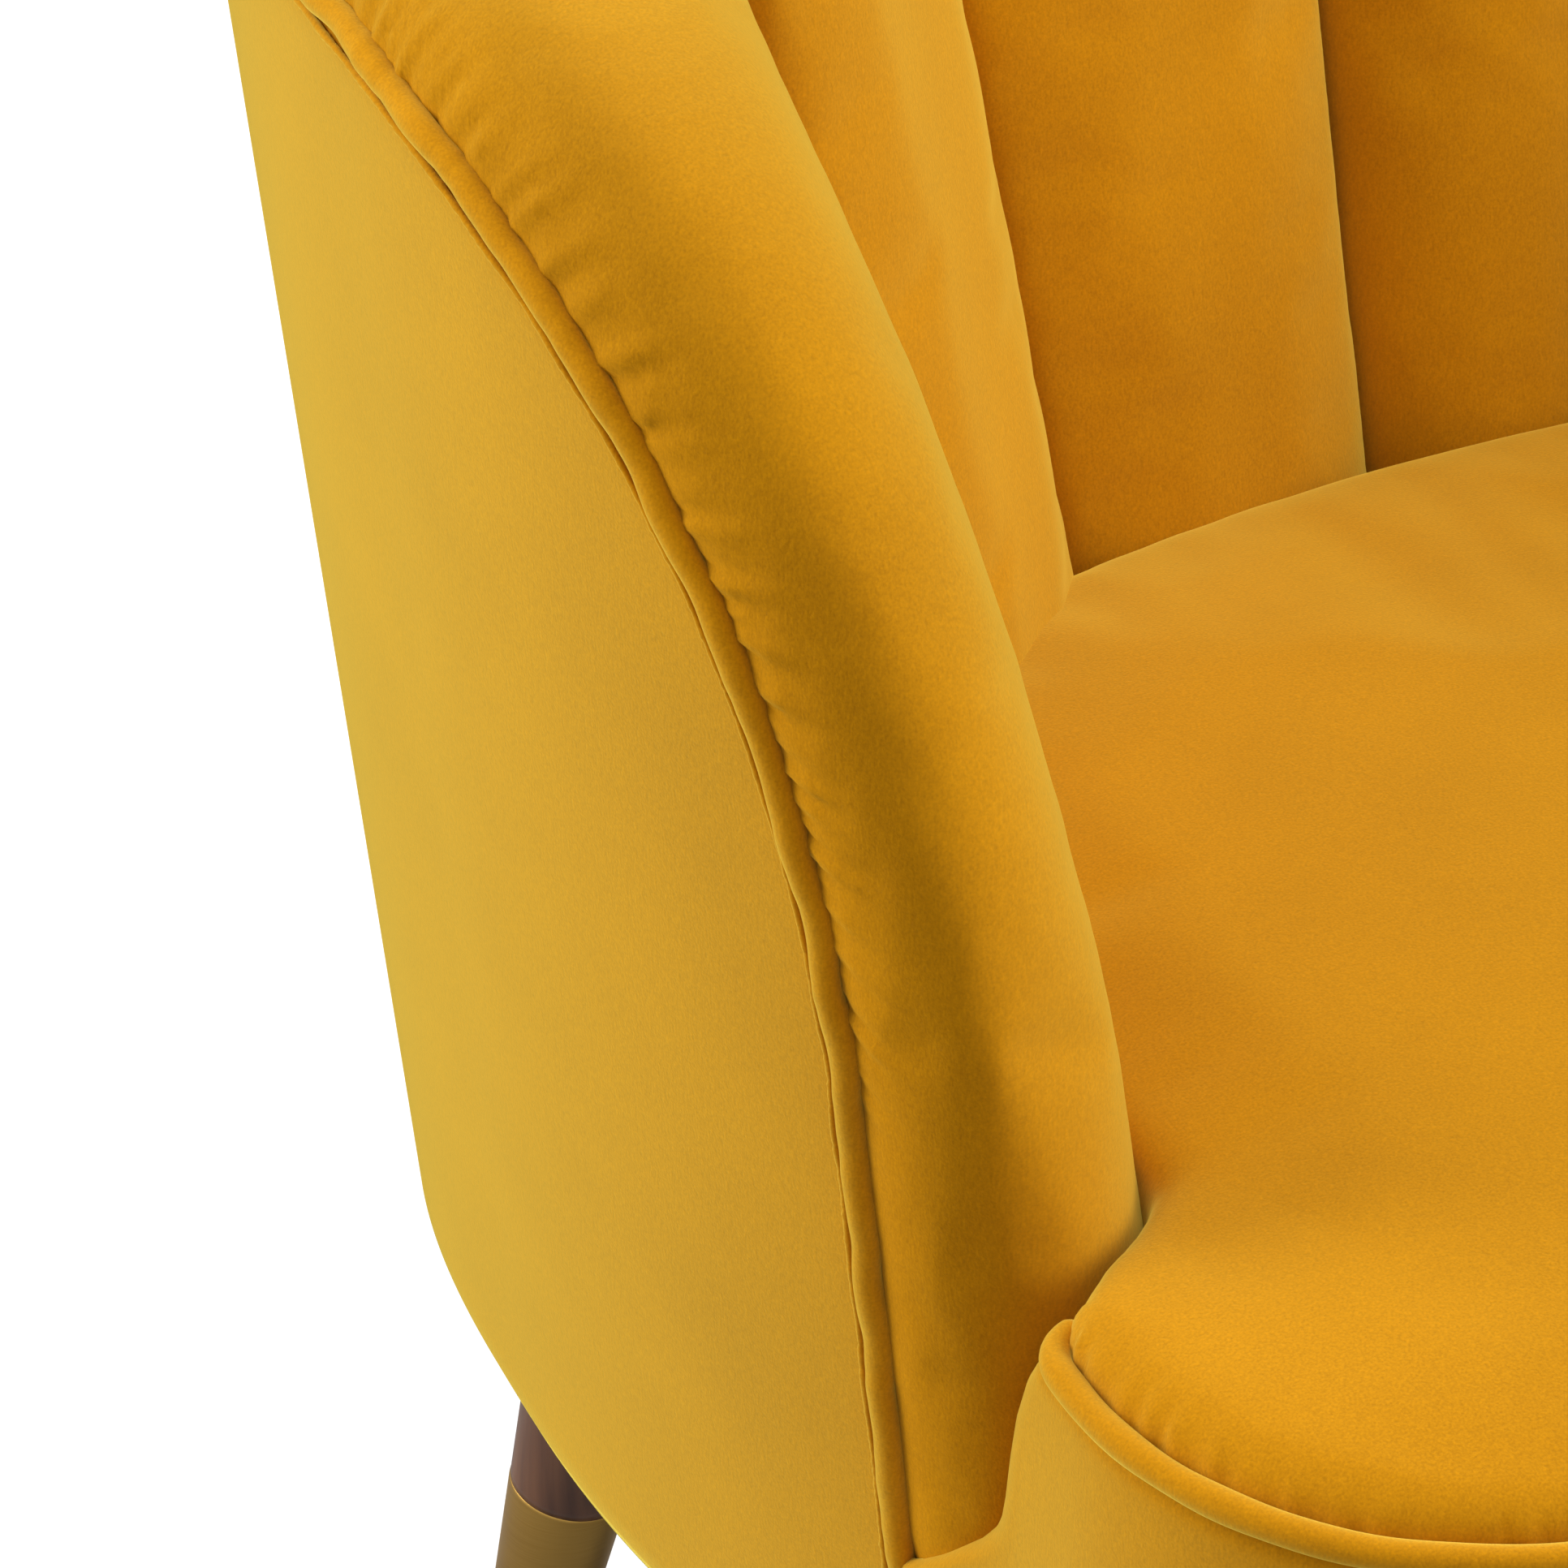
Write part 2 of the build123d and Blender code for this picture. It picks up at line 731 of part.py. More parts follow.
with BuildPart() as front_border:
    border_rear = arm_front_y - 2 * welt_radius - 3 * soft_gap
    with BuildSketch(Plane.XY.offset(base_height)):
        front_outline(0, border_rear)
        front_outline(border_thickness, border_rear + seat_corner, mode=Mode.SUBTRACT)
    extrude(amount=seat_welt_height - 2 * welt_radius - base_height)
    band_clearing(2 * soft_gap)
save(front_border, "front_border")

with BuildPart() as seat_welt:
    with BuildLine(Plane.XY.offset(seat_welt_height - welt_radius + soft_gap)) as seat_edge:
        half, front, corner = seat_half_width, seat_front_y, seat_corner
        slant = corner * (1 - cos(pi / 4))
        Line((-half, seat_step_y), (-half, front + corner))
        ThreePointArc((-half, front + corner), (-half + slant, front + slant), (-half + corner, front))
        Line((-half + corner, front), (half - corner, front))
        ThreePointArc((half - corner, front), (half - slant, front + slant), (half, front + corner))
        Line((half, front + corner), (half, seat_step_y))
    with BuildSketch(Plane(origin=seat_edge.line @ 0, z_dir=seat_edge.line % 0)):
        Circle(welt_radius)
    sweep()
save(seat_welt, "seat_welt")

with BuildPart() as dust_cover:
    with BuildSketch(Plane.XY.offset(base_height)):
        base_outline()
        for _, place in legs.values():
            with Locations(place):
                Circle(leg_hole_radius, mode=Mode.SUBTRACT)
    extrude(amount=dust_cloth)
save(dust_cover, "dust_cover")


# Legs, ferrules, glides and their fixings

def leg_cone(axis_plane, inset, start, end, mode=Mode.ADD):
    """Tapered round along the leg axis between two distances from the floor, smaller by inset."""
    slope = (leg_top_radius - leg_foot_radius) / base_height
    with BuildSketch(axis_plane.offset(start)) as low:
        Circle(leg_foot_radius - inset + slope * start)
    with BuildSketch(axis_plane.offset(end)) as high:
        Circle(leg_foot_radius - inset + slope * end)
    loft([low.sketch, high.sketch], mode=mode)


tenon_start = glide_height + ferrule_floor + leg_foot_radius * tan(radians(leg_splay))
for name, (axis_plane, place) in legs.items():
    with BuildPart() as leg:
        leg_cone(axis_plane, ferrule_wall + fit_gap, tenon_start + fit_gap, ferrule_height)
        leg_cone(axis_plane, 0, ferrule_height, base_height + leg_top_radius)
        split(bisect_by=Plane.XY.offset(plate_level), keep=Keep.BOTTOM)
        with BuildSketch(axis_plane.offset(plate_level - bolt_grip)):
            Circle(bolt_radius + fit_gap)
        extrude(amount=base_height, mode=Mode.SUBTRACT)
    save(leg, f"leg_{name}")

    with BuildPart() as ferrule:
        leg_cone(axis_plane, 0, 0, ferrule_height)
        split(bisect_by=Plane.XY.offset(glide_height), keep=Keep.TOP)
        leg_cone(axis_plane, ferrule_wall, tenon_start, ferrule_height, mode=Mode.SUBTRACT)
    save(ferrule, f"ferrule_{name}")

    with BuildPart() as glide:
        with BuildSketch():
            foot = axis_plane.origin + axis_plane.z_dir * (glide_height / axis_plane.z_dir.Z)
            with Locations((foot.X, foot.Y)):
                Circle(glide_radius)
        extrude(amount=glide_height)
        fillet(glide.edges().sort_by(Axis.Z)[0], glide_height / 3)
    save(glide, f"glide_{name}")

    with BuildPart() as leg_plate:
        with BuildSketch(Plane.XY.offset(plate_level)):
            with Locations(place):
                RectangleRounded(plate_size, plate_size, plate_size / 8)
        extrude(amount=plate_thickness)
        bolt_holes()
    save(leg_plate, f"leg_plate_{name}")

with BuildPart() as leg_bolts:
    for axis_plane, _ in legs.values():
        with BuildSketch(axis_plane.offset(plate_level - bolt_grip + fit_gap)):
            Circle(bolt_radius)
        extrude(amount=bolt_grip + plate_thickness + ply + 3 * bolt_radius)
save(leg_bolts, "leg_bolts")

with BuildPart() as bolt_washers:
    for axis_plane, _ in legs.values():
        height = ring_top + washer_thickness / 2
        middle = axis_plane.origin + axis_plane.z_dir * (height / axis_plane.z_dir.Z)
        with BuildSketch(Plane.XY.offset(ring_top)):
            with Locations((middle.X, middle.Y)):
                Circle(washer_radius)
        extrude(amount=washer_thickness)
    bolt_holes()
save(bolt_washers, "bolt_washers")
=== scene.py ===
"""Velvet club chair: a channelled tub on splayed legs, seen close from the front left.

The surface functions work in millimetres and the meshes are in metres. The chair faces -Y,
the arm in view is the one at -X, and fan angles count from the middle of the back.
"""
import json

import bpy
import numpy as np
from mathutils import Matrix, Vector


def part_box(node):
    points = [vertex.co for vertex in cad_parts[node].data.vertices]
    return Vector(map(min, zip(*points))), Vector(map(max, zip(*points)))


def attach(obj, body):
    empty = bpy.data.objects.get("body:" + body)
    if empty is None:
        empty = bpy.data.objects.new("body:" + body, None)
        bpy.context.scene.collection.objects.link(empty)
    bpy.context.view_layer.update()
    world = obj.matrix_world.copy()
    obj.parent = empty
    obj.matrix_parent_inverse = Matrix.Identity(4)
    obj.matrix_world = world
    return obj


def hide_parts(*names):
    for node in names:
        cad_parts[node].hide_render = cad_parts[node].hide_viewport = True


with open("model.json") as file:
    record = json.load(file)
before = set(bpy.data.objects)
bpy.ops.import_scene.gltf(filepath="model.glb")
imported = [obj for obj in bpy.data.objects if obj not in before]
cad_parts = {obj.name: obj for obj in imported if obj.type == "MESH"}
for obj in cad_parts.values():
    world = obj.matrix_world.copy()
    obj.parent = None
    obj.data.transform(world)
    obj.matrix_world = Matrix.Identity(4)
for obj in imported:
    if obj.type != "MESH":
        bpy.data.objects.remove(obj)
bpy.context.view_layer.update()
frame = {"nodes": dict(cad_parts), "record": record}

BASE, ARM_TOP, BACK_TOP = 222.0, 640.0, 752.0
FRONT_Y, SWEEP_START, SWEEP_END, SWEEP_FULLNESS = -147.5, 430.0, 30.5, 0.66
TUB_HALF, TUB_REAR, TUB_FRONT, TUB_Y, TUB_LEAN = 330.0, 259.0, 365.0, 17.0, 5.5
REAR_POWER, FRONT_POWER = 2.8, 2.0
INNER_HALF, INNER_DEEP, INNER_Y, INNER_POWER = 246.0, 231.0, -104.5, 2.3
SEAT_LINE, ARM_LEAN, BACK_LEAN = 410.0, 10.0, 14.0
AXIS_Y, ARM_SEAM, INNER_SEAM, CENTRE_SEAM = -144.5, 56.0, 31.8, 8.2
ROLL, SEAM_START, PAD_LOW = 0.74, 3.6, 330.0
WELT, WELT_STAND, WELT_LIFT = 3.75, 1.75, 4.55
SEAT_HALF, SEAT_CORNER, SEAT_FRONT, SEAT_WELT = 295.0, 95.0, -324.5, 404.0
SEAT_INSET, SEAT_MIDDLE = 3.4, -215.0


# Outlines

def slope(degrees):
    return np.tan(np.radians(degrees))


def wall_half(y, z):
    """Half width of the outside at depth y and height z: a superellipse that grows with height."""
    grow = (z - BASE) * slope(TUB_LEAN)
    along = y - TUB_Y
    deep = np.where(along > 0, TUB_REAR, TUB_FRONT) + grow
    power = np.where(along > 0, REAR_POWER, FRONT_POWER)
    return (TUB_HALF + grow) * np.maximum(1 - (np.abs(along) / deep) ** power, 0) ** (1 / power)


def seam_half(y, z):
    """Half width of the inside along the channel seams, which lean out as they rise."""
    wide = INNER_HALF + (z - SEAT_LINE) * slope(ARM_LEAN)
    deep = INNER_DEEP + (z - SEAT_LINE) * slope(BACK_LEAN)
    return wide * np.maximum(1 - (np.abs(y - INNER_Y) / deep) ** INNER_POWER, 0) ** (1 / INNER_POWER)


def fan_reach(half, angle, z):
    """Distance from the fan axis to an outline, by halving on whole arrays: within while |x| < half."""
    angle, z = np.broadcast_arrays(np.radians(angle), z)
    low, high = np.zeros(angle.shape), np.full(angle.shape, 700.0)
    for _ in range(34):
        middle = (low + high) / 2
        inside = np.abs(middle * np.sin(angle)) < half(AXIS_Y + middle * np.cos(angle), z) - 1e-9
        low, high = np.where(inside, middle, low), np.where(inside, high, middle)
    return low


def fan_point(angle, reach, z):
    """Point at this fan angle, distance from the axis and height; positive angles are at -X."""
    a = np.radians(angle)
    return np.stack(np.broadcast_arrays(-reach * np.sin(a), AXIS_Y + reach * np.cos(a), z), -1)


def top_line(angle):
    """Height of the welt: half a cosine wave from the middle of the back down to the level arm."""
    share = np.minimum(np.abs(angle) / ARM_SEAM, 1)
    return ARM_TOP + (BACK_TOP - ARM_TOP) * (1 + np.cos(np.pi * share)) / 2


def even_steps(line, count):
    """The same line at even steps of its length, with its unit direction."""
    length = np.concatenate([[0], np.cumsum(np.linalg.norm(np.diff(line, axis=0), axis=1))])
    at = np.linspace(0, length[-1], count)
    line = np.stack([np.interp(at, length, line[:, k]) for k in range(line.shape[1])], 1)
    turn = np.gradient(line, axis=0)
    return line, turn / np.linalg.norm(turn, axis=1, keepdims=True), at


def seam_depth(half):
    """Depth of an outline where the arm band meets the first back channel."""
    return float(AXIS_Y + fan_reach(half, ARM_SEAM, ARM_TOP) * np.cos(np.radians(ARM_SEAM)))


def level_to(y, end):
    """Depths of an arm line with its level part made to stop at another depth."""
    level = SWEEP_END + (y - SWEEP_END) * (end - SWEEP_END) / (y[-1] - SWEEP_END)
    return np.where(y > SWEEP_END, level, y)


def arm_line(low, count):
    """Arm edge in side view (depth, height): up the front, a cubic sweep, level to the seam."""
    t = np.linspace(0, 1, 160)[:, None]
    reach_y, reach_z = SWEEP_FULLNESS * (SWEEP_END - FRONT_Y), SWEEP_FULLNESS * (ARM_TOP - SWEEP_START)
    p = np.array([[FRONT_Y, SWEEP_START], [FRONT_Y, SWEEP_START + reach_z],
                  [SWEEP_END - reach_y, ARM_TOP], [SWEEP_END, ARM_TOP]])
    sweep = (1 - t) ** 3 * p[0] + 3 * (1 - t) ** 2 * t * p[1] + 3 * (1 - t) * t * t * p[2] + t ** 3 * p[3]
    front = np.stack([np.full(60, FRONT_Y), np.linspace(low, SWEEP_START, 60)], 1)
    level = np.stack([np.linspace(SWEEP_END, seam_depth(wall_half), 40), np.full(40, ARM_TOP)], 1)
    return even_steps(np.concatenate([front[:-1], sweep, level[1:]]), count)


def top_edge(count, low=BASE):
    """Whole upper edge of the tub from the left arm front round the back to the right arm front.

    Returns the points on the outside face, the unit direction, the way across the edge (away
    from the wall), the way inwards and the length so far.
    """
    side, turn, _ = arm_line(low, 300)
    arm = np.stack([-wall_half(side[:, 0], side[:, 1]), side[:, 0], side[:, 1]], 1)
    away = np.stack([np.zeros(300), -turn[:, 1], turn[:, 0]], 1)
    inward = np.tile([1.0, 0, 0], (300, 1))
    angle = np.linspace(ARM_SEAM, 0, 160)[1:]
    z = top_line(angle)
    back = fan_point(angle, fan_reach(wall_half, angle, z), z)
    a = np.radians(angle)
    back_in = np.stack([np.sin(a), -np.cos(a), 0 * a], 1)
    half = np.concatenate([arm, back])
    half_away = np.concatenate([away, np.tile([0, 0, 1.0], (len(back), 1))])
    half_in = np.concatenate([inward, back_in])
    flip = np.array([-1.0, 1, 1])
    both = np.concatenate([np.concatenate([half, half_away, half_in], 1),
                           np.concatenate([half[-2::-1] * flip, half_away[-2::-1] * flip,
                                           half_in[-2::-1] * flip], 1)])
    length = np.concatenate([[0], np.cumsum(np.linalg.norm(np.diff(both[:, :3], axis=0), axis=1))])
    at = np.linspace(0, length[-1], count)
    both = np.stack([np.interp(at, length, both[:, k]) for k in range(9)], 1)
    return both[:, :3], both[:, 3:6], both[:, 6:], at


def ripple(at, seed, waves, size):
    """Sum of sine waves along a length, with lengths drawn between the two given ones."""
    rng = np.random.default_rng(seed)
    lengths = rng.uniform(waves[0], waves[1], 9)
    phases = rng.uniform(0, 2 * np.pi, 9)
    return size * np.sin(2 * np.pi * np.asarray(at)[..., None] / lengths + phases).sum(-1) / 3


def smooth(low, high, value):
    """0 below low, 1 above high, with a smooth rise between."""
    t = np.clip((value - low) / (high - low), 0, 1)
    return t * t * (3 - 2 * t)


# Meshes

def mesh_piece(name, points, faces):
    """Object with these points, in millimetres, and faces; its place is in its mesh."""
    mesh = bpy.data.meshes.new(name)
    mesh.from_pydata((np.asarray(points) * 0.001).tolist(), [], faces)
    mesh.polygons.foreach_set("use_smooth", np.ones(len(mesh.polygons), dtype=bool))
    mesh.update()
    piece = bpy.data.objects.new(name, mesh)
    bpy.context.scene.collection.objects.link(piece)
    return piece


def grid_faces(rows, columns, closed_rows=False, closed_columns=False, start=0):
    """Quads of a grid of points, wrapped round where it is closed."""
    i = np.arange(rows if closed_rows else rows - 1)[:, None]
    j = np.arange(columns if closed_columns else columns - 1)[None, :]
    a, b = i * columns + j, i * columns + (j + 1) % columns
    c, d = ((i + 1) % rows) * columns + (j + 1) % columns, ((i + 1) % rows) * columns + j
    return (np.stack(np.broadcast_arrays(a, b, c, d), -1).reshape(-1, 4) + start).tolist()


def outward(points, faces):
    """The same faces, turned to look out: the quads' summed volume about the middle is positive."""
    p = (points - points.mean(0))[np.array([face for face in faces if len(face) == 4])]
    one, two, three = (p[:, k] - p[:, 0] for k in (1, 2, 3))
    volume = (np.cross(one, two) + np.cross(two, three)) * p[:, 0]
    return faces if volume.sum() > 0 else [face[::-1] for face in faces]


def ringed(name, rings):
    """Closed skin through rings of points, with a flat cap on each end."""
    rows, columns = rings.shape[:2]
    faces = grid_faces(rows, columns, closed_columns=True)
    faces.append(list(range(columns))[::-1])
    faces.append(list(range((rows - 1) * columns, rows * columns)))
    points = rings.reshape(-1, 3)
    return mesh_piece(name, points, outward(points, faces))


def plate(name, face, rear):
    """Closed plate between two grids of points of one size, joined round their rims."""
    rows, columns = face.shape[:2]
    at = np.arange(rows * columns).reshape(rows, columns)
    rim = np.concatenate([at[0], at[1:, -1], at[-1, -2::-1], at[-2:0:-1, 0]])
    after = np.roll(rim, -1)
    faces = grid_faces(rows, columns) + [quad[::-1] for quad in grid_faces(rows, columns, start=at.size)]
    faces += np.stack([after, rim, rim + at.size, after + at.size], 1).tolist()
    points = np.concatenate([face.reshape(-1, 3), rear.reshape(-1, 3)])
    return mesh_piece(name, points, outward(points, faces))


def tube(name, path, across, inward, radius):
    """Round cord: circles of a varying radius in the plane of the two given directions."""
    phi = np.linspace(0, 2 * np.pi, 28, endpoint=False)
    radius = np.broadcast_to(radius, (len(path), len(phi)))
    rings = (path[:, None] + radius[..., None] * (np.cos(phi)[None, :, None] * inward[:, None]
                                                  + np.sin(phi)[None, :, None] * across[:, None]))
    return ringed(name, rings)


def dress(piece, material, slot, *nodes):
    """Gives a piece its material, ties it to the body and lets it stand for CAD nodes; slot is not used."""
    piece.data.materials.clear()
    piece.data.materials.append(material)
    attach(piece, "root")
    if nodes:
        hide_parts(*nodes)
    return piece


# Shader values as Python expressions

class Value:
    """A shader socket; arithmetic on it adds Math nodes to its tree."""

    def __init__(self, tree, socket=None):
        self.tree, self.socket = tree, socket

    def node(self, kind, settings=None, out=0, **sockets):
        """Adds a node: settings first, then values or links by socket name (_ for a space)."""
        made = self.tree.nodes.new(kind)
        for key, value in (settings or {}).items():
            setattr(made, key, value)
        for key, value in sockets.items():
            socket = made.inputs[int(key[1:])] if key[0] == "i" and key[1:].isdigit() else made.inputs[
                key.replace("_", " ")]
            if isinstance(value, Value):
                self.tree.links.new(value.socket, socket)
            else:
                socket.default_value = value
        return Value(self.tree, made.outputs[out])

    def math(self, operation, a, b):
        return self.node("ShaderNodeMath", {"operation": operation}, i0=a, i1=b)

    def __add__(self, other):
        return self.math("ADD", self, other)

    def __mul__(self, other):
        return self.math("MULTIPLY", self, other)

    def __rsub__(self, other):
        return self.math("SUBTRACT", other, self)

    __radd__, __rmul__ = __add__, __mul__

    def clamp(self, low, high):
        return self.node("ShaderNodeMapRange", {"clamp": True}, Value=self, From_Min=low, From_Max=high)

    def colour(self, dark, light):
        """Mix of two colours by this value."""
        return self.node("ShaderNodeMix", {"data_type": "RGBA"}, 2, i0=self, i6=dark, i7=light)


def finish_material(name, **fixed):
    """New material with constant values on its shader; returns it with its tree's values."""
    material = bpy.data.materials.new(name)
    material.use_nodes = True
    shader = material.node_tree.nodes["Principled BSDF"]
    for key, value in fixed.items():
        shader.inputs[key.replace("_", " ")].default_value = value
    values = Value(material.node_tree)
    place = values.node("ShaderNodeTexCoord", None, 3)

    def wire(key, value):
        material.node_tree.links.new(value.socket, shader.inputs[key])

    return material, values, place, wire


def noise(values, place, scale, detail=2.0):
    return values.node("ShaderNodeTexNoise", None, 0, Vector=place, Scale=scale, Detail=detail)


def velvet_material(name, lean):
    """Short pile: a deep base that the sheen lifts where it turns from the eye, fine grain, soft nap.

    A lean lays the pile over, up and towards the middle of the chair, which tilts the normal that way.
    """
    material, values, place, wire = finish_material(
        name, Sheen_Weight=1.0, Sheen_Roughness=0.48, Sheen_Tint=(1.0, 0.82, 0.13, 1.0),
        Specular_IOR_Level=0.03)
    nap = noise(values, place, 16.0, 3.0)
    upright = values.node("ShaderNodeMapping", None, 0, Vector=place, Scale=(1300.0, 1300.0, 420.0))
    streaks = noise(values, upright, 1.0)
    pile = noise(values, place, 1500.0)
    grain = pile * 0.55 + streaks * 0.45
    shade = (nap * 0.25 + grain * 0.75).clamp(0.3, 0.7)
    wire("Base Color", shade.colour((0.4, 0.152, 0.001, 1), (0.64, 0.266, 0.0018, 1)))
    wire("Roughness", pile * 0.2 + 0.75)
    side = values.math("SIGN", values.node("ShaderNodeSeparateXYZ", None, 0, Vector=place), 0.0)
    laid = values.node("ShaderNodeCombineXYZ", None, 0, X=side * -1.3 * lean, Z=lean)
    normal = values.node("ShaderNodeNewGeometry", None, 1)
    normal = values.node("ShaderNodeVectorMath", {"operation": "ADD"}, i0=normal, i1=laid)
    normal = values.node("ShaderNodeVectorMath", {"operation": "NORMALIZE"}, i0=normal)
    wire("Normal", values.node("ShaderNodeBump", Strength=0.3, Distance=0.0004, Height=grain, Normal=normal))
    return material


def walnut_material():
    """Dark brown wood with grain stretched along the leg."""
    material, values, place, wire = finish_material("walnut", Roughness=0.38, Coat_Weight=0.15)
    long_grain = values.node("ShaderNodeMapping", None, 0, Vector=place, Scale=(160.0, 160.0, 9.0))
    grain = noise(values, long_grain, 1.0, 6.0)
    wire("Base Color", grain.clamp(0.3, 0.7).colour((0.045, 0.013, 0.006, 1), (0.16, 0.062, 0.024, 1)))
    return material


def brass_material():
    """Satin brass, brushed round the leg."""
    material, values, place, wire = finish_material("brass", Metallic=1.0)
    rounds = values.node("ShaderNodeMapping", None, 0, Vector=place, Scale=(30.0, 30.0, 2600.0))
    brush = noise(values, rounds, 1.0, 2.0)
    wire("Base Color", brush.colour((0.42, 0.235, 0.05, 1), (0.56, 0.345, 0.09, 1)))
    wire("Roughness", brush * 0.14 + 0.3)
    return material


def plain_material(name, colour, roughness=0.8, metallic=0.0):
    return finish_material(name, Base_Color=(*colour, 1), Roughness=roughness, Metallic=metallic)[0]


velvet, laid_velvet = velvet_material("velvet", 0.0), velvet_material("laid velvet", 0.36)
walnut, brass = walnut_material(), brass_material()
plain = {
    "plywood": plain_material("plywood", (0.62, 0.46, 0.28)),
    "fibreboard": plain_material("fibreboard", (0.45, 0.33, 0.2)),
    "foam": plain_material("foam", (0.85, 0.8, 0.62)),
    "webbing": plain_material("webbing", (0.06, 0.055, 0.05)),
    "dust_cloth": plain_material("dust cloth", (0.012, 0.012, 0.012)),
    "zinc_steel": plain_material("zinc steel", (0.6, 0.6, 0.6), 0.35, 1.0),
    "nylon": plain_material("nylon", (0.03, 0.03, 0.03), 0.5),
    "velvet": velvet, "walnut": walnut, "brass": brass,
}
for part in frame["record"]["subparts"]:
    mesh = frame["nodes"][part["node"]].data
    mesh.materials.clear()
    mesh.materials.append(plain[part["material_slot"]])


# Outside cover

def outline_angle(x, y, z):
    """Superellipse angle of a point of the outside face: 0 at the back, past a right angle at the arms."""
    grow = (z - BASE) * slope(TUB_LEAN)
    along = y - TUB_Y
    deep = np.where(along > 0, TUB_REAR, TUB_FRONT) + grow
    power = np.where(along > 0, REAR_POWER, FRONT_POWER)
    across = np.abs(x / (TUB_HALF + grow)) ** (power / 2)
    return np.sign(-x) * np.arctan2(across, np.sign(along) * np.abs(along / deep) ** (power / 2))


def outside_face(angle, z, inset):
    """Point of the outside face, moved inwards: cosine and sine raised to two over the power."""
    grow = (z - BASE) * slope(TUB_LEAN) - inset
    c, s = np.cos(angle), np.sin(angle)
    power = np.where(c > 0, REAR_POWER, FRONT_POWER)
    deep = np.where(c > 0, TUB_REAR, TUB_FRONT) + grow
    return np.stack([-(TUB_HALF + grow) * np.sign(s) * np.abs(s) ** (2 / power),
                     TUB_Y + deep * np.sign(c) * np.abs(c) ** (2 / power), z], -1)


def outside_cover():
    """Stretched cover: straight columns from the base to the edge, rounded in at the welt and the base.

    Two upright seams at the back corners are narrow Gaussian grooves.
    """
    points, away, inward, at = top_edge(520)
    angle_top = outline_angle(points[:, 0] * 0.99999, points[:, 1], points[:, 2])
    even = np.linspace(angle_top[0], angle_top[-1], len(at))
    angle_low = 0.75 * angle_top + 0.25 * even
    ends = outline_angle(points[[0, -1], 0], np.full(2, FRONT_Y), np.full(2, BASE))
    angle_low = angle_low + (ends[0] - angle_low[0]) * np.linspace(1, -1, len(at))
    up = 1 - (1 - np.linspace(0, 1, 76)) ** 1.25
    angle = angle_low[:, None] + (angle_top - angle_low)[:, None] * up
    z = BASE + (points[:, 2, None] - BASE) * up
    below = (points[:, 2, None] - z) + 0 * angle
    edge = np.minimum(below, 3.0) / 3.0
    inset = 1.6 * (1 - np.sqrt(1 - (1 - edge) ** 2 * 0.999)) + 2.2 * (1 - smooth(0, 7, z - BASE)) ** 2
    side = np.minimum(np.abs(angle - angle_low[0]), np.abs(angle - angle_low[-1])) * 300
    inset = inset + 1.6 * (1 - np.sqrt(1 - (1 - np.minimum(side, 3.0) / 3.0) ** 2 * 0.999))
    seam = np.abs(np.abs(np.degrees(angle)) - 50.0) * 5.0
    inset = inset + 1.5 * np.exp(-(seam / 1.4) ** 2)
    skin = outside_face(angle, z, inset)
    inner = outside_face(angle[:, ::-5], z[:, ::-5], 4.0)
    return dress(ringed("outside_cover", np.concatenate([skin, inner], 1)), velvet, "velvet",
                 "outside_arm_cover_left", "outside_arm_cover_right", "outside_back_cover")


def edge_hem():
    """Thin blind-stitched fold of the outside cover that lies beside the welt, with small bumps."""
    points, away, inward, at = top_edge(1500, BASE + 2)
    radius = 0.95 + ripple(at, 11, (3, 9), 0.10) + ripple(at, 12, (18, 60), 0.10)
    wander = ripple(at, 13, (20, 70), 0.45)
    sunk = 0.35 + ripple(at, 14, (15, 50), 0.15)
    path = points - inward * sunk[:, None] - away * (1.0 + wander * 0.4)[:, None]
    return dress(tube("edge_hem", path, away, inward, radius[:, None]), velvet, "velvet")


def edge_welt():
    """Cloth-covered cord along the whole upper edge; it wanders a little and its cover puckers."""
    points, away, inward, at = top_edge(1700, BASE + 1)
    phi = np.linspace(0, 2 * np.pi, 28, endpoint=False)
    wander = ripple(at, 1, (30, 95), 0.55)
    path = points + inward * (WELT - WELT_STAND + ripple(at, 2, (25, 80), 0.5))[:, None] + away * (
        WELT_LIFT - 0.6 + wander)[:, None]
    radius = WELT * (1 + ripple(at, 3, (22, 70), 0.05)[:, None]
                     + 0.018 * np.sin(at[:, None] / 2.1 + phi + 3 * ripple(at, 4, (20, 60), 0.6)[:, None]))
    return dress(tube("edge_welt", path, away, inward, radius), velvet, "velvet",
                 "arm_welt_left", "back_welt", "arm_welt_right")


# Padded pieces

def roll(phi, fullness):
    """Half round of a padded roll: across by (1 - cos)/2 and up by a power of the sine."""
    return (1 - np.cos(np.pi * phi)) / 2, np.sin(np.pi * np.clip(phi, 0, 1)) ** fullness


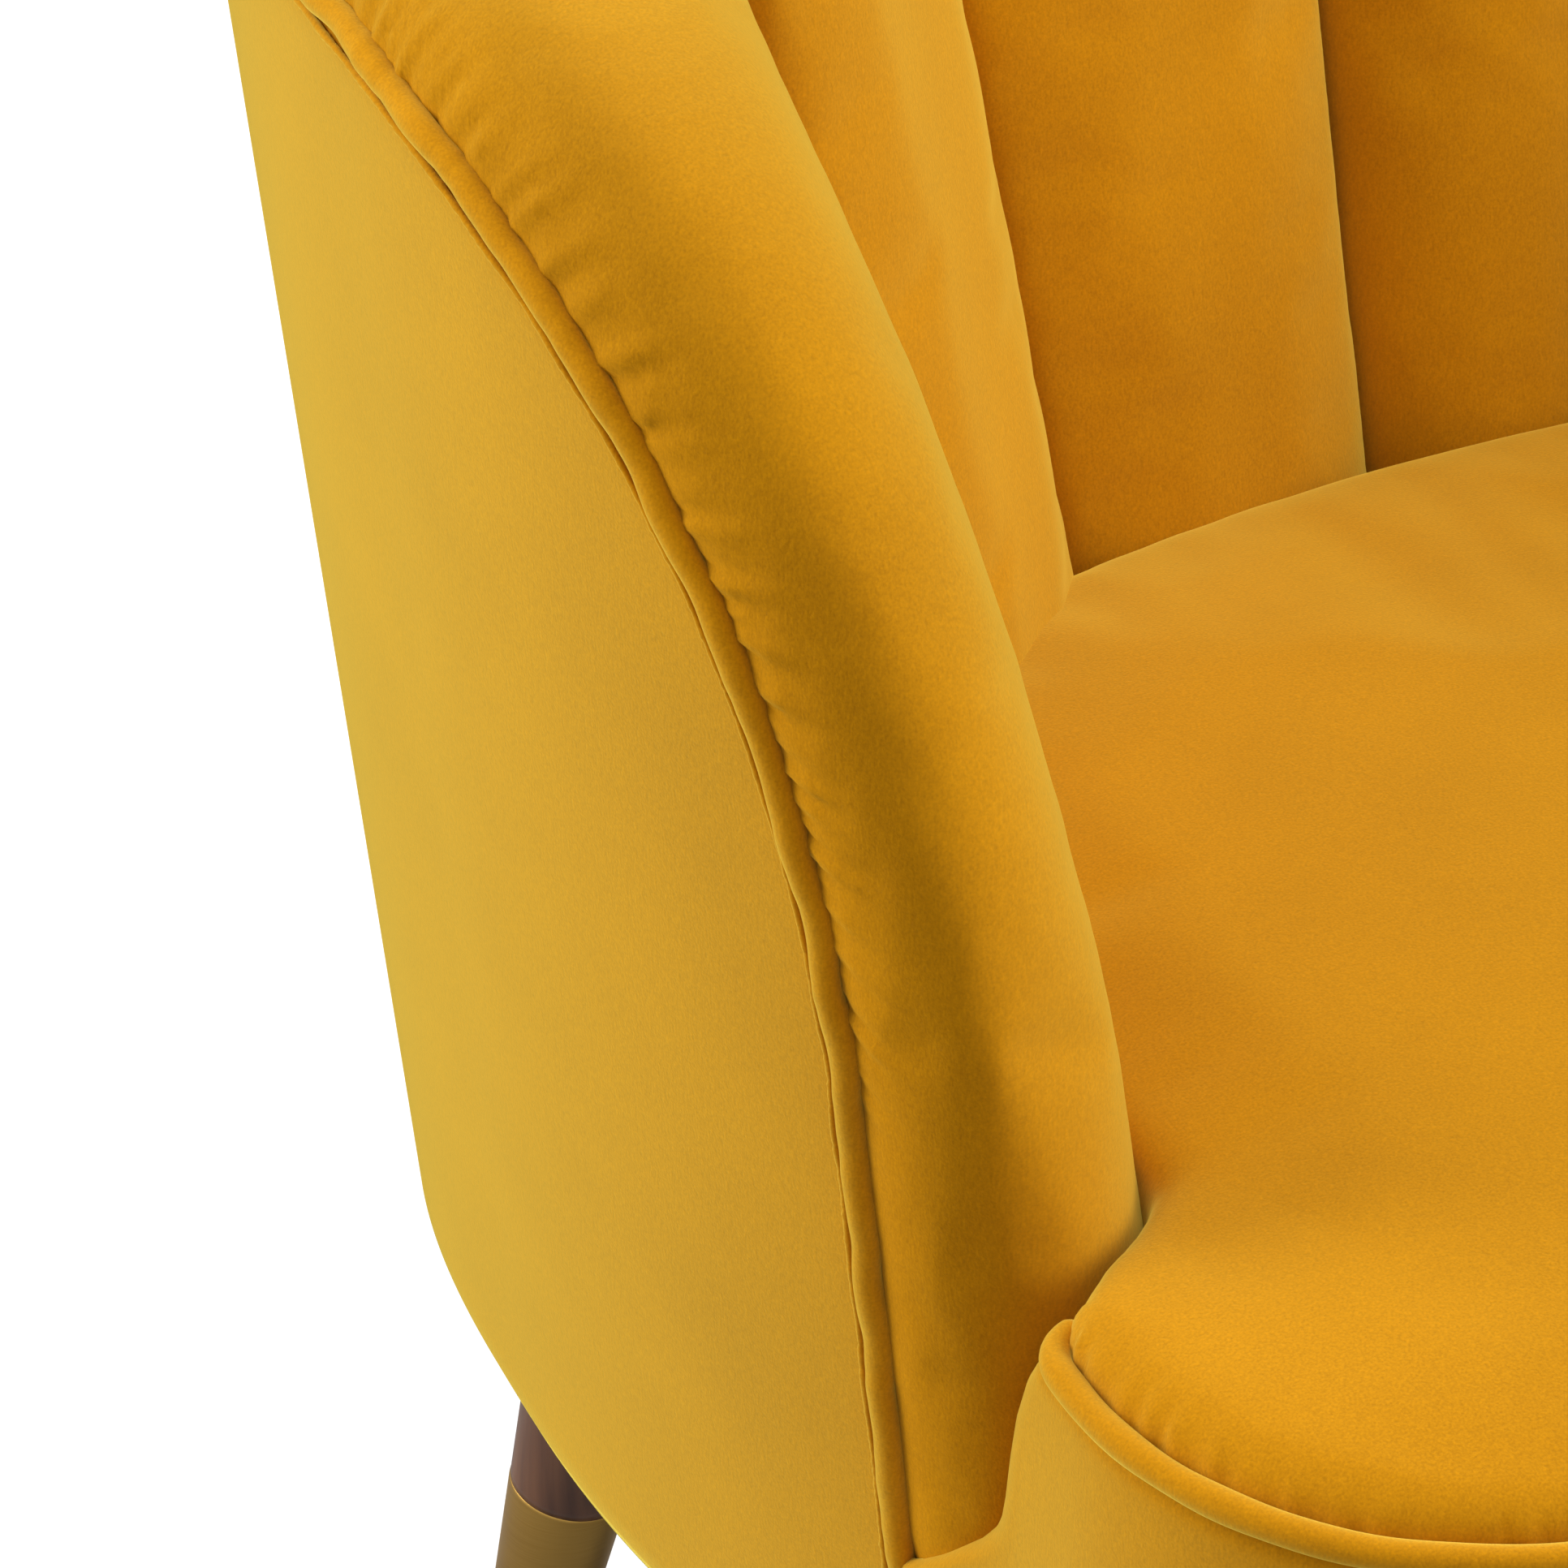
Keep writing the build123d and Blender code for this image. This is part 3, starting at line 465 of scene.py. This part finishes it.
def arm_band(side):
    """Padded front channel of an arm: half rounds across the arm edge from the tip to the seam.

    The planes turn from straight across the arm to the fan plane of the seam. Returns the rings
    and the share of each point that is held by a seam.
    """
    sign = -1.0 if side == "left" else 1.0
    line, turn, at = arm_line(291.0, 112)
    y, z = line[:, 0], line[:, 1]
    outer = np.stack([wall_half(y, z), y, z], 1)
    inner_y = level_to(y, seam_depth(seam_half))
    inner = np.stack([seam_half(inner_y, z) + 5.0, inner_y, z], 1)
    away = np.stack([0 * y, -turn[:, 1], turn[:, 0]], 1)
    wide = np.linalg.norm(inner - outer, axis=1)
    start = SEAM_START / wide
    rise = 45.0 - 6.0 * smooth(430, 600, z)
    tip = np.sqrt(np.clip(1 - (1 - np.minimum(at / 16.0, 1)) ** 2, 0.02, 1))
    tail = 1 - 0.18 * smooth(at[-1] - 30, at[-1], at)
    phi = np.linspace(0, 1, 46)
    a, h = roll(phi, ROLL)
    a = start[:, None] + (1 - start[:, None]) * a
    top = outer[:, None] + (inner - outer)[:, None] * a[..., None] + away[:, None] * (
        (rise * tip * tail)[:, None] * h + 1.0)[..., None]
    under_a = np.linspace(1, 0, 14)[1:-1]
    under = outer[:, None] + (inner - outer)[:, None] * (
        start[:, None] + (1 - start[:, None]) * under_a)[..., None] - away[:, None] * 3.0
    rings = np.concatenate([top, under], 1)
    held = np.zeros(rings.shape[:2])
    held[:, :3] = held[:, 43:] = 1
    held[:2] = held[-2:] = 1
    rings[..., 0] *= sign
    return rings, held


def back_channel(start, end):
    """Padded channel between two fan angles: up the inside, over the top and down to the welt."""
    share = (1 - np.cos(np.pi * np.linspace(0, 1, 41))) / 2
    angle = (start + (end - start) * share)[:, None]
    fill = (1 - np.abs(2 * share - 1) ** 2.8)[:, None] ** 0.62
    top = top_line(angle)
    low = PAD_LOW
    up = np.linspace(0, 1, 60)[None]
    face_z = low + (top - low) * up
    face = fan_reach(seam_half, angle, face_z) - 23.0 * fill
    phi = np.linspace(0, 1, 44)[1:]
    a, h = roll(phi, ROLL)
    lip = fan_reach(wall_half, angle, top) - SEAM_START
    roll_reach = face[:, -1:] + (lip - face[:, -1:]) * a
    roll_z = top + (44.0 - 10.0 * (1 - fill)) * h + 1.0 * phi
    down = np.linspace(0.02, 1, 12)[None]
    back_z = np.concatenate([top - 4.0 + 0 * up[:, :1], top - (top - low) * down], 1)
    back_reach = fan_reach(seam_half, angle, back_z) + 38.0
    reach = np.concatenate([face, roll_reach, back_reach], 1)
    z = np.concatenate([face_z, roll_z, back_z], 1)
    rings = fan_point(angle, reach, z)
    held = np.zeros(rings.shape[:2])
    held[:1] = held[-1:] = 1
    held[:, :6] = held[:, 100:] = 1
    return rings, held


def inside_arm(side):
    """Flat pad, slightly crowned, from the seam to the arm front; its edge is tucked in below the band."""
    sign = -1.0 if side == "left" else 1.0
    line, turn, at = arm_line(PAD_LOW, 90)
    y, z = line[:, 0], line[:, 1]
    seam_y = seam_depth(seam_half)
    y = level_to(y, seam_y + 3)
    corner = np.array([seam_y - 22.0, PAD_LOW])
    inward = np.linspace(-0.07, 1, 42)[None]
    depth = y[:, None] + (corner[0] - y[:, None]) * inward
    height = z[:, None] + (corner[1] - z[:, None]) * inward
    crown = 7.0 * np.sin(np.pi * np.clip(inward * 0.8 + 0.1, 0, 1)) ** 0.8
    tucked = 7.0 + 5.0 * (1 - smooth(-0.06, 0.01, inward))
    face = np.stack([seam_half(depth, height) - crown + tucked, depth, height], -1)
    rear = np.stack([seam_half(depth, height) + 20.0, depth, height], -1)[:, ::-4]
    rings = np.concatenate([face, rear], 1)
    held = np.ones(rings.shape[:2])
    held[:, 4:38] = 0
    held[:2] = held[-2:] = 1
    rings[..., 0] *= sign
    return rings, held


def upholstered(name, rings, held, nodes, limit, gathers=None, cloth=None):
    """Finishes a padded piece: even mesh, cloth under pressure held at its seams, finer mesh, gathers."""
    piece = ringed(name, rings)
    held_points = rings.reshape(-1, 3)[held.reshape(-1) > 0.5] * 0.001
    remesh = piece.modifiers.new("even", "REMESH")
    remesh.mode, remesh.voxel_size, remesh.use_smooth_shade = "VOXEL", 0.005, True
    apply_modifiers(piece)
    puff(piece, held_points, limit)
    smoothing = piece.modifiers.new("relax", "SMOOTH")
    smoothing.factor, smoothing.iterations = 0.5, 4
    finer = piece.modifiers.new("finer", "SUBSURF")
    finer.levels = finer.render_levels = 1
    apply_modifiers(piece)
    if gathers:
        gather(piece, *gathers)
    dress(piece, cloth or velvet, "velvet", *nodes)
    return piece


def gather(piece, line, share, seed, waves, size, reach):
    """Small folds across a seam: a ripple along the seam line that fades with the distance from it."""
    points = points_of(piece.data) * 1000
    line, turn, at = even_steps(line, 500)
    share = np.interp(np.linspace(0, 1, 500), np.linspace(0, 1, len(share)), share)
    apart = np.concatenate([np.linalg.norm(block[:, None] - line[None], axis=-1)
                            for block in np.array_split(points, max(1, len(points) // 2000))])
    nearest = apart.argmin(1)
    gap = apart.min(1)
    fade = smooth(1.0, 4.0, gap) * (1 - smooth(0.3 * reach, reach, gap)) * share[nearest]
    step = ripple(at[nearest] + 0.25 * gap, seed, waves, size) * fade
    normals = np.empty(len(points) * 3)
    piece.data.vertices.foreach_get("normal", normals)
    points += normals.reshape(-1, 3) * step[:, None]
    piece.data.vertices.foreach_set("co", (points * 0.001).ravel())
    piece.data.update()


def apply_modifiers(piece):
    """Replaces a piece's mesh by the one that its modifiers give."""
    graph = bpy.context.evaluated_depsgraph_get()
    made = bpy.data.meshes.new_from_object(piece.evaluated_get(graph))
    piece.modifiers.clear()
    piece.data = made


def points_of(mesh):
    flat = np.empty(len(mesh.vertices) * 3)
    mesh.vertices.foreach_get("co", flat)
    return flat.reshape(-1, 3)


def puff(piece, held_points, limit):
    """Cloth under air pressure for twenty frames, moved at most limit millimetres from where it was."""
    before = points_of(piece.data)
    near = np.concatenate([((block[:, None] - held_points[None]) ** 2).sum(-1).min(1)
                           for block in np.array_split(before, max(1, len(before) // 400))]) ** 0.5
    group = piece.vertex_groups.new(name="held")
    group.add(np.flatnonzero(near < 0.0065).tolist(), 1.0, "REPLACE")
    cloth = piece.modifiers.new("cloth", "CLOTH")
    settings = cloth.settings
    settings.vertex_group_mass = "held"
    settings.use_pressure, settings.uniform_pressure_force = True, 4.0
    settings.effector_weights.gravity = 0.0
    settings.shrink_min = settings.shrink_max = -0.004
    settings.tension_stiffness = settings.compression_stiffness = 25.0
    settings.bending_stiffness = 2.0
    settings.quality = 5
    cloth.point_cache.frame_start, cloth.point_cache.frame_end = 1, 20
    for step in range(1, 21):
        bpy.context.scene.frame_set(step)
    graph = bpy.context.evaluated_depsgraph_get()
    after = points_of(piece.evaluated_get(graph).data)
    piece.modifiers.remove(cloth)
    bpy.context.scene.frame_set(1)
    move = after - before
    far = np.linalg.norm(move, axis=1, keepdims=True)
    move *= np.minimum(1, limit * 0.001 / np.maximum(far, 1e-9))
    piece.data.vertices.foreach_set("co", (before + move).ravel())
    piece.data.update()


# Seat and front border

def seat_plan(psi):
    """Seat outline round a point between the arms: rounded front, ears before the arms, waist, rear."""
    t = np.linspace(0, np.pi / 2, 30)
    half, corner, edge = SEAT_HALF - SEAT_INSET, SEAT_CORNER - SEAT_INSET, SEAT_FRONT + SEAT_INSET
    arc = np.stack([half - corner + corner * np.sin(t), edge + corner - corner * np.cos(t)], 1)
    rear_angle = np.linspace(-84, 0, 60)
    rear = fan_point(rear_angle, fan_reach(seam_half, rear_angle, 405.0) + 5.0, 0.0)[:, :2]
    rear[:, 1] = np.minimum(rear[:, 1], 101.0 - 21.0 * (rear[:, 0] / 150.0) ** 2)
    ear = np.array([[half, -217.0], [half - 3, -210.0], [half - 9, -203.5], [half - 18, -198.0],
                    [half - 30, -191.0], [rear[0, 0] + 8, -186.0], [rear[0, 0] + 1, -180.0]])
    front = np.stack([np.linspace(0, half - corner, 40), np.full(40, edge)], 1)
    right = np.concatenate([front[:-1], arc, ear, rear])
    left = right[::-1][1:-1] * [-1, 1]
    loop = np.concatenate([right, left])
    around = np.unwrap(np.arctan2(loop[:, 1] - SEAT_MIDDLE, loop[:, 0]))
    order = np.argsort(around)
    reach = np.hypot(loop[:, 0], loop[:, 1] - SEAT_MIDDLE)
    return np.interp(psi, around[order], reach[order], period=2 * np.pi)


def seat_cushion():
    """Tight seat: rings shrink to the middle while the height follows a crown that falls to the edge."""
    psi = np.linspace(0, 2 * np.pi, 360, endpoint=False)
    reach = seat_plan(psi)
    inward = np.concatenate([[1.0, 1.0], 1 - 0.5 * (1 - np.cos(np.linspace(0.0, np.pi, 46)[1:])) * 0.995])
    x = np.cos(psi)[None] * reach[None] * inward[:, None]
    y = SEAT_MIDDLE + np.sin(psi)[None] * reach[None] * inward[:, None]
    gap = reach[None] * (1 - inward[:, None])
    shoulder = np.sqrt(np.clip(1 - (1 - np.minimum(gap, 14.0) / 14.0) ** 2, 0, 1))
    z = SEAT_WELT - 2.0 + seat_height(x, y) + 9.0 * shoulder
    z[0] = SEAT_WELT - 22.0
    top = np.stack([x, y, z], -1)
    low = np.stack([x[:1] * 0.98, y[:1], 0 * z[:1] + SEAT_WELT - 24.0], -1)
    return np.concatenate([low, top])


def seat_height(x, y):
    """Crown of the seat above its edge: a broad dome, highest ahead of the middle, falling to the rear."""
    along = np.clip((y - SEAT_FRONT) / 430.0, 0, 1)
    dome = np.sin(np.pi * np.clip(along * 0.86 + 0.04, 0, 1)) ** 0.7
    side = np.clip(1 - (np.abs(x) / 330.0) ** 2.4, 0, 1)
    return 19.0 * dome * side - 8.0 * smooth(0.75, 1.0, along)


def border_rear(z):
    """Depth of the border's rear edge: it wraps the tip of the arm band and runs back below it."""
    heights = np.array([222, 296, 300, 304, 314, 326.6, 335, 341, 349, 362, 375, 387, 399, 404.0])
    depths = np.array([-151.0, -151, -154.5, -161, -173, -186.5, -193, -195.6, -197, -198.2, -200,
                       -203.5, -210, -213.5])
    return np.interp(z, heights, depths)


def front_border():
    """Border panel: the plan of the seat front carried up from the base, with a slight belly.

    Its rear edges are quarter rounds that turn in against the arm bands.
    """
    up = np.linspace(0, 1, 70)
    z = BASE + (SEAT_WELT - 2.5 - BASE) * up
    turn = 8.0 * smooth(300, 345, z)[:, None] + 2.0
    rear = border_rear(z)[:, None] - 0.4 * turn
    t = np.linspace(0, np.pi / 2, 40)[None]
    bend = np.linspace(np.pi / 2, 0, 9)[None, :-1]
    side = np.linspace(0, 1, 30)[None, :-1]
    wide = np.ones_like(rear)
    corner_y = SEAT_FRONT + SEAT_CORNER
    x = np.concatenate([-SEAT_HALF + turn * (1 - np.cos(bend)), -SEAT_HALF * wide * np.ones_like(side),
                        wide * (-SEAT_HALF + SEAT_CORNER * (1 - np.cos(t))),
                        wide * np.linspace(-SEAT_HALF + SEAT_CORNER, 0, 40)[None, 1:]], 1)
    y = np.concatenate([rear + turn * np.sin(bend), rear + (corner_y - rear) * side,
                        wide * (corner_y - SEAT_CORNER * np.sin(t)), wide * np.full((1, 39), SEAT_FRONT)], 1)
    x = x - 6.0 * smooth(-205, -158, y)
    x, y = np.concatenate([x, -x[:, -2::-1]], 1), np.concatenate([y, y[:, -2::-1]], 1)
    belly = 1.5 * np.sin(np.pi * up) - 2.5 * (1 - smooth(0, 8, z - BASE)) ** 2 - 2.5 * smooth(
        SEAT_WELT - 9, SEAT_WELT - 2.5, z)
    away = np.stack([np.gradient(y, axis=1), -np.gradient(x, axis=1)], -1)
    away /= np.linalg.norm(away, axis=-1, keepdims=True)
    tall = np.repeat(z[:, None], x.shape[1], 1)
    skin = np.stack([x + away[..., 0] * belly[:, None], y + away[..., 1] * belly[:, None], tall], -1)
    inner = np.stack([x - away[..., 0] * 5, y - away[..., 1] * 5, tall], -1)
    piece = dress(plate("front_border_panel", skin, inner), velvet, "velvet", "front_border")
    return piece


def seat_edge_line():
    """Path of the seat welt: along the seat front with both ends curled in behind the ears."""
    t = np.linspace(0, np.pi / 2, 40)
    curl = np.stack([-SEAT_HALF + 13 - 13 * np.cos(t), -222 + 15 * np.sin(t),
                     SEAT_WELT - 1.5 * np.sin(t)], 1)[::-1]
    arc = np.stack([-SEAT_HALF + SEAT_CORNER - SEAT_CORNER * np.cos(t),
                    SEAT_FRONT + SEAT_CORNER - SEAT_CORNER * np.sin(t), np.full(40, SEAT_WELT)], 1)
    half = np.concatenate([curl, arc, [[0, SEAT_FRONT, SEAT_WELT]]])
    return np.concatenate([half, half[-2::-1] * [-1, 1, 1]])


def seat_welt():
    """Cord along the seat edge, a little uneven, with its radius falling off at the tucked ends."""
    path, turn, at = even_steps(seat_edge_line(), 1100)
    for _ in range(30):
        path[1:-1] = (path[:-2] + 2 * path[1:-1] + path[2:]) / 4
    turn = np.gradient(path, axis=0)
    turn /= np.linalg.norm(turn, axis=1, keepdims=True)
    inward = np.cross(turn, [0, 0, 1.0])
    inward /= np.linalg.norm(inward, axis=1, keepdims=True)
    across = np.cross(inward, turn)
    path = (path + inward * ripple(at, 21, (40, 110), 0.25)[:, None]
            + across * ripple(at, 22, (40, 110), 0.25)[:, None])
    ends = np.minimum(at, at[-1] - at)
    radius = (WELT + 0.1) * (1 + ripple(at, 23, (20, 60), 0.02)) * np.sqrt(np.clip(ends / 4.0, 0.05, 1))
    return dress(tube("seat_edge_welt", path, across, inward, radius[:, None]), velvet, "velvet", "seat_welt")


# Legs

def dust_cloth():
    """Thin cloth under the base, cut to the plan of tub and border, sagging a little in the middle."""
    half = wall_half(FRONT_Y, BASE)
    ends = outline_angle(np.array([half, -half]), FRONT_Y, BASE)
    tub = outside_face(np.linspace(ends[0], ends[1], 160), np.full(160, BASE), 5.0)[:, :2]
    t = np.linspace(0, np.pi / 2, 30)
    corner = np.stack([-SEAT_HALF + SEAT_CORNER * (1 - np.cos(t)),
                       SEAT_FRONT + SEAT_CORNER * (1 - np.sin(t))], 1)
    end = np.array([[-SEAT_HALF, FRONT_Y - 8.0]])
    front = np.concatenate([end, corner, corner[::-1] * [-1, 1], end * [-1, 1]])
    plan = np.concatenate([tub, even_steps(front * 0.983, 200)[0]])
    middle = -20.0
    around = np.unwrap(np.arctan2(plan[:, 1] - middle, plan[:, 0]))
    order = np.argsort(around)
    psi = np.linspace(0, 2 * np.pi, 180, endpoint=False)
    reach = np.interp(psi, around[order], np.hypot(plan[:, 0], plan[:, 1] - middle)[order], period=2 * np.pi)
    inward = np.linspace(1, 0.004, 30)[:, None]
    x, y = inward * reach * np.cos(psi), middle + inward * reach * np.sin(psi)
    z = BASE + 0.9 - 2.5 * (1 - inward ** 2) * np.ones_like(x)
    faces = grid_faces(30, 180, closed_columns=True) + [list(range(29 * 180, 30 * 180))]
    piece = mesh_piece("dust_cloth", np.stack([x, y, z], -1).reshape(-1, 3), faces)
    dress(piece, plain["dust_cloth"], "dust_cloth", "dust_cover")


def leg_frame(name):
    """Foot on the floor and unit axis of a leg, read from the place of its CAD glide and plate."""
    low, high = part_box("glide_" + name)
    foot = np.array((Vector(low) + Vector(high)) / 2) * 1000
    low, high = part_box("leg_plate_" + name)
    head = np.array((Vector(low) + Vector(high)) / 2) * 1000
    axis = head - foot
    axis /= np.linalg.norm(axis)
    return foot - axis * (foot[2] / axis[2]), axis


def turned(foot, axis, profile):
    """Surface of revolution about the leg axis from (distance along, radius) pairs."""
    phi = np.linspace(0, 2 * np.pi, 64, endpoint=False)
    u = np.cross(axis, [0, 1.0, 0])
    u /= np.linalg.norm(u)
    v = np.cross(axis, u)
    rings = (foot + profile[:, :1, None] * axis + profile[:, 1:, None] * (
        np.cos(phi)[None, :, None] * u + np.sin(phi)[None, :, None] * v))
    return rings


def legs():
    """Tapered walnut legs, cut level under the tub, with a brass ferrule that stands a little proud."""
    taper = (28.0 - 14.6) / BASE
    for name in ("front_left", "front_right", "rear_left", "rear_right"):
        foot, axis = leg_frame(name)
        along = np.linspace(61.0, 236.0, 50)
        rings = turned(foot, axis, np.stack([along, 14.5 + taper * along], 1))
        over = np.maximum(rings[..., 2] - (BASE + 0.8), 0)
        rings = rings - axis * (over / axis[2])[..., None]
        dress(ringed("walnut_leg_" + name, rings), walnut, "walnut", "leg_" + name)
        steps = np.array([[4.6, 12.6], [4.7, 13.9], [5.2, 14.5], [7.0, 14.95], [20, 14.75 + 20 * taper],
                          [40, 14.75 + 40 * taper], [60.6, 14.75 + 60.6 * taper], [61.6, 14.6 + 61.6 * taper],
                          [62.0, 14.2 + 62 * taper], [62.0, 13.0 + 62 * taper]])
        rings = turned(foot, axis, steps)
        dress(ringed("brass_ferrule_" + name, rings), brass, "brass", "ferrule_" + name)


outside_cover()
edge_hem()
edge_welt()
for side in ("left", "right"):
    rings, held = arm_band(side)
    edge = rings[:, 0]
    upholstered("arm_roll_" + side, rings, held, ["arm_band_" + side], 5.0,
                (edge, smooth(380, 500, edge[:, 2]), 31, (6, 13), 0.5, 34.0), laid_velvet)
    rings, held = inside_arm(side)
    upholstered("arm_pad_" + side, rings, held, ["inside_arm_" + side], 5.0)
for name, start, end in (("channel_centre", -CENTRE_SEAM, CENTRE_SEAM),
                         ("channel_inner_left", CENTRE_SEAM, INNER_SEAM),
                         ("channel_inner_right", -INNER_SEAM, -CENTRE_SEAM),
                         ("channel_outer_left", INNER_SEAM, ARM_SEAM),
                         ("channel_outer_right", -ARM_SEAM, -INNER_SEAM)):
    rings, held = back_channel(start, end)
    upholstered("padded_" + name, rings, held, [name], 2.5)
seat_rings = seat_cushion()
seat_held = np.zeros(seat_rings.shape[:2])
seat_held[:5] = 1
seat_line = seat_edge_line()
ears = 1 - smooth(20, 75, np.minimum(np.arange(len(seat_line)), np.arange(len(seat_line))[::-1]))
upholstered("tight_seat", seat_rings, seat_held, ["seat_cushion"], 5.0,
            (seat_line, ears, 32, (6, 11), 0.5, 20.0))
front_border()
seat_welt()
dust_cloth()
legs()


# Stage, light and camera

def stage():
    """Pale floor that keeps the shadow, a white world for the camera and a soft sky, brighter behind."""
    corners = np.array([[-1, -1, 0], [1, -1, 0], [1, 1, 0], [-1, 1, 0]])
    floor = mesh_piece("floor", 9000.0 * corners, [[0, 1, 2, 3]])
    material, values, place, wire = finish_material(
        "pale floor", Base_Color=(0.4, 0.4, 0.4, 1), Roughness=0.9, Emission_Strength=1.0)
    wire("Emission Color", values.node("ShaderNodeLightPath") * 0.75)
    floor.data.materials.append(material)
    world = bpy.data.worlds.new("studio")
    bpy.context.scene.world = world
    world.use_nodes = True
    values = Value(world.node_tree)
    path = world.node_tree.nodes.new("ShaderNodeLightPath")
    seen = [Value(world.node_tree, path.outputs[k])
            for k in ("Is Camera Ray", "Is Glossy Ray", "Is Transmission Ray")]
    white = values.math("MAXIMUM", values.math("MAXIMUM", seen[0], seen[1]), seen[2])
    direction = values.node("ShaderNodeTexCoord")
    behind = values.node("ShaderNodeSeparateXYZ", None, 1, Vector=direction).clamp(-0.3, 0.7)
    soft = behind * 0.1 + 0.52
    strength = white * (1.0 - soft) + soft
    world.node_tree.links.new(strength.socket, world.node_tree.nodes["Background"].inputs["Strength"])
    world.node_tree.nodes["Background"].inputs["Color"].default_value = (1, 1, 1, 1)


def lamp(name, place, target, size, power):
    """Large soft area lamp."""
    data = bpy.data.lights.new(name, "AREA")
    data.shape, data.size, data.energy = "DISK", size, power
    lamp_object = bpy.data.objects.new(name, data)
    bpy.context.scene.collection.objects.link(lamp_object)
    lamp_object.location = place
    lamp_object.rotation_euler = (Vector(target) - Vector(place)).to_track_quat("-Z", "Y").to_euler()


def camera():
    """Long lens from the front left and above, as fitted to the photograph."""
    data = bpy.data.cameras.new("camera")
    data.lens, data.sensor_width = 149.16, 36.0
    eye = bpy.data.objects.new("camera", data)
    bpy.context.scene.collection.objects.link(eye)
    right, up, back = (0.91688, -0.39916, 0.0), (0.21788, 0.50047, 0.83789), (-0.33445, -0.76825, 0.54584)
    place = Matrix.Translation((-0.80444, -1.23777, 1.29985))
    eye.matrix_world = place @ Matrix((right, up, back)).transposed().to_4x4()
    bpy.context.scene.camera = eye


stage()
lamp("left", (-2.0, 1.0, 1.5), (-0.2, 0, 0.4), 1.6, 46)
lamp("right", (1.95, -0.85, 1.7), (-0.1, 0, 0.45), 1.6, 48)
lamp("above", (0.0, -0.4, 2.7), (0, 0, 0.4), 2.0, 18)
camera()
bpy.context.scene.view_settings.view_transform = "Standard"
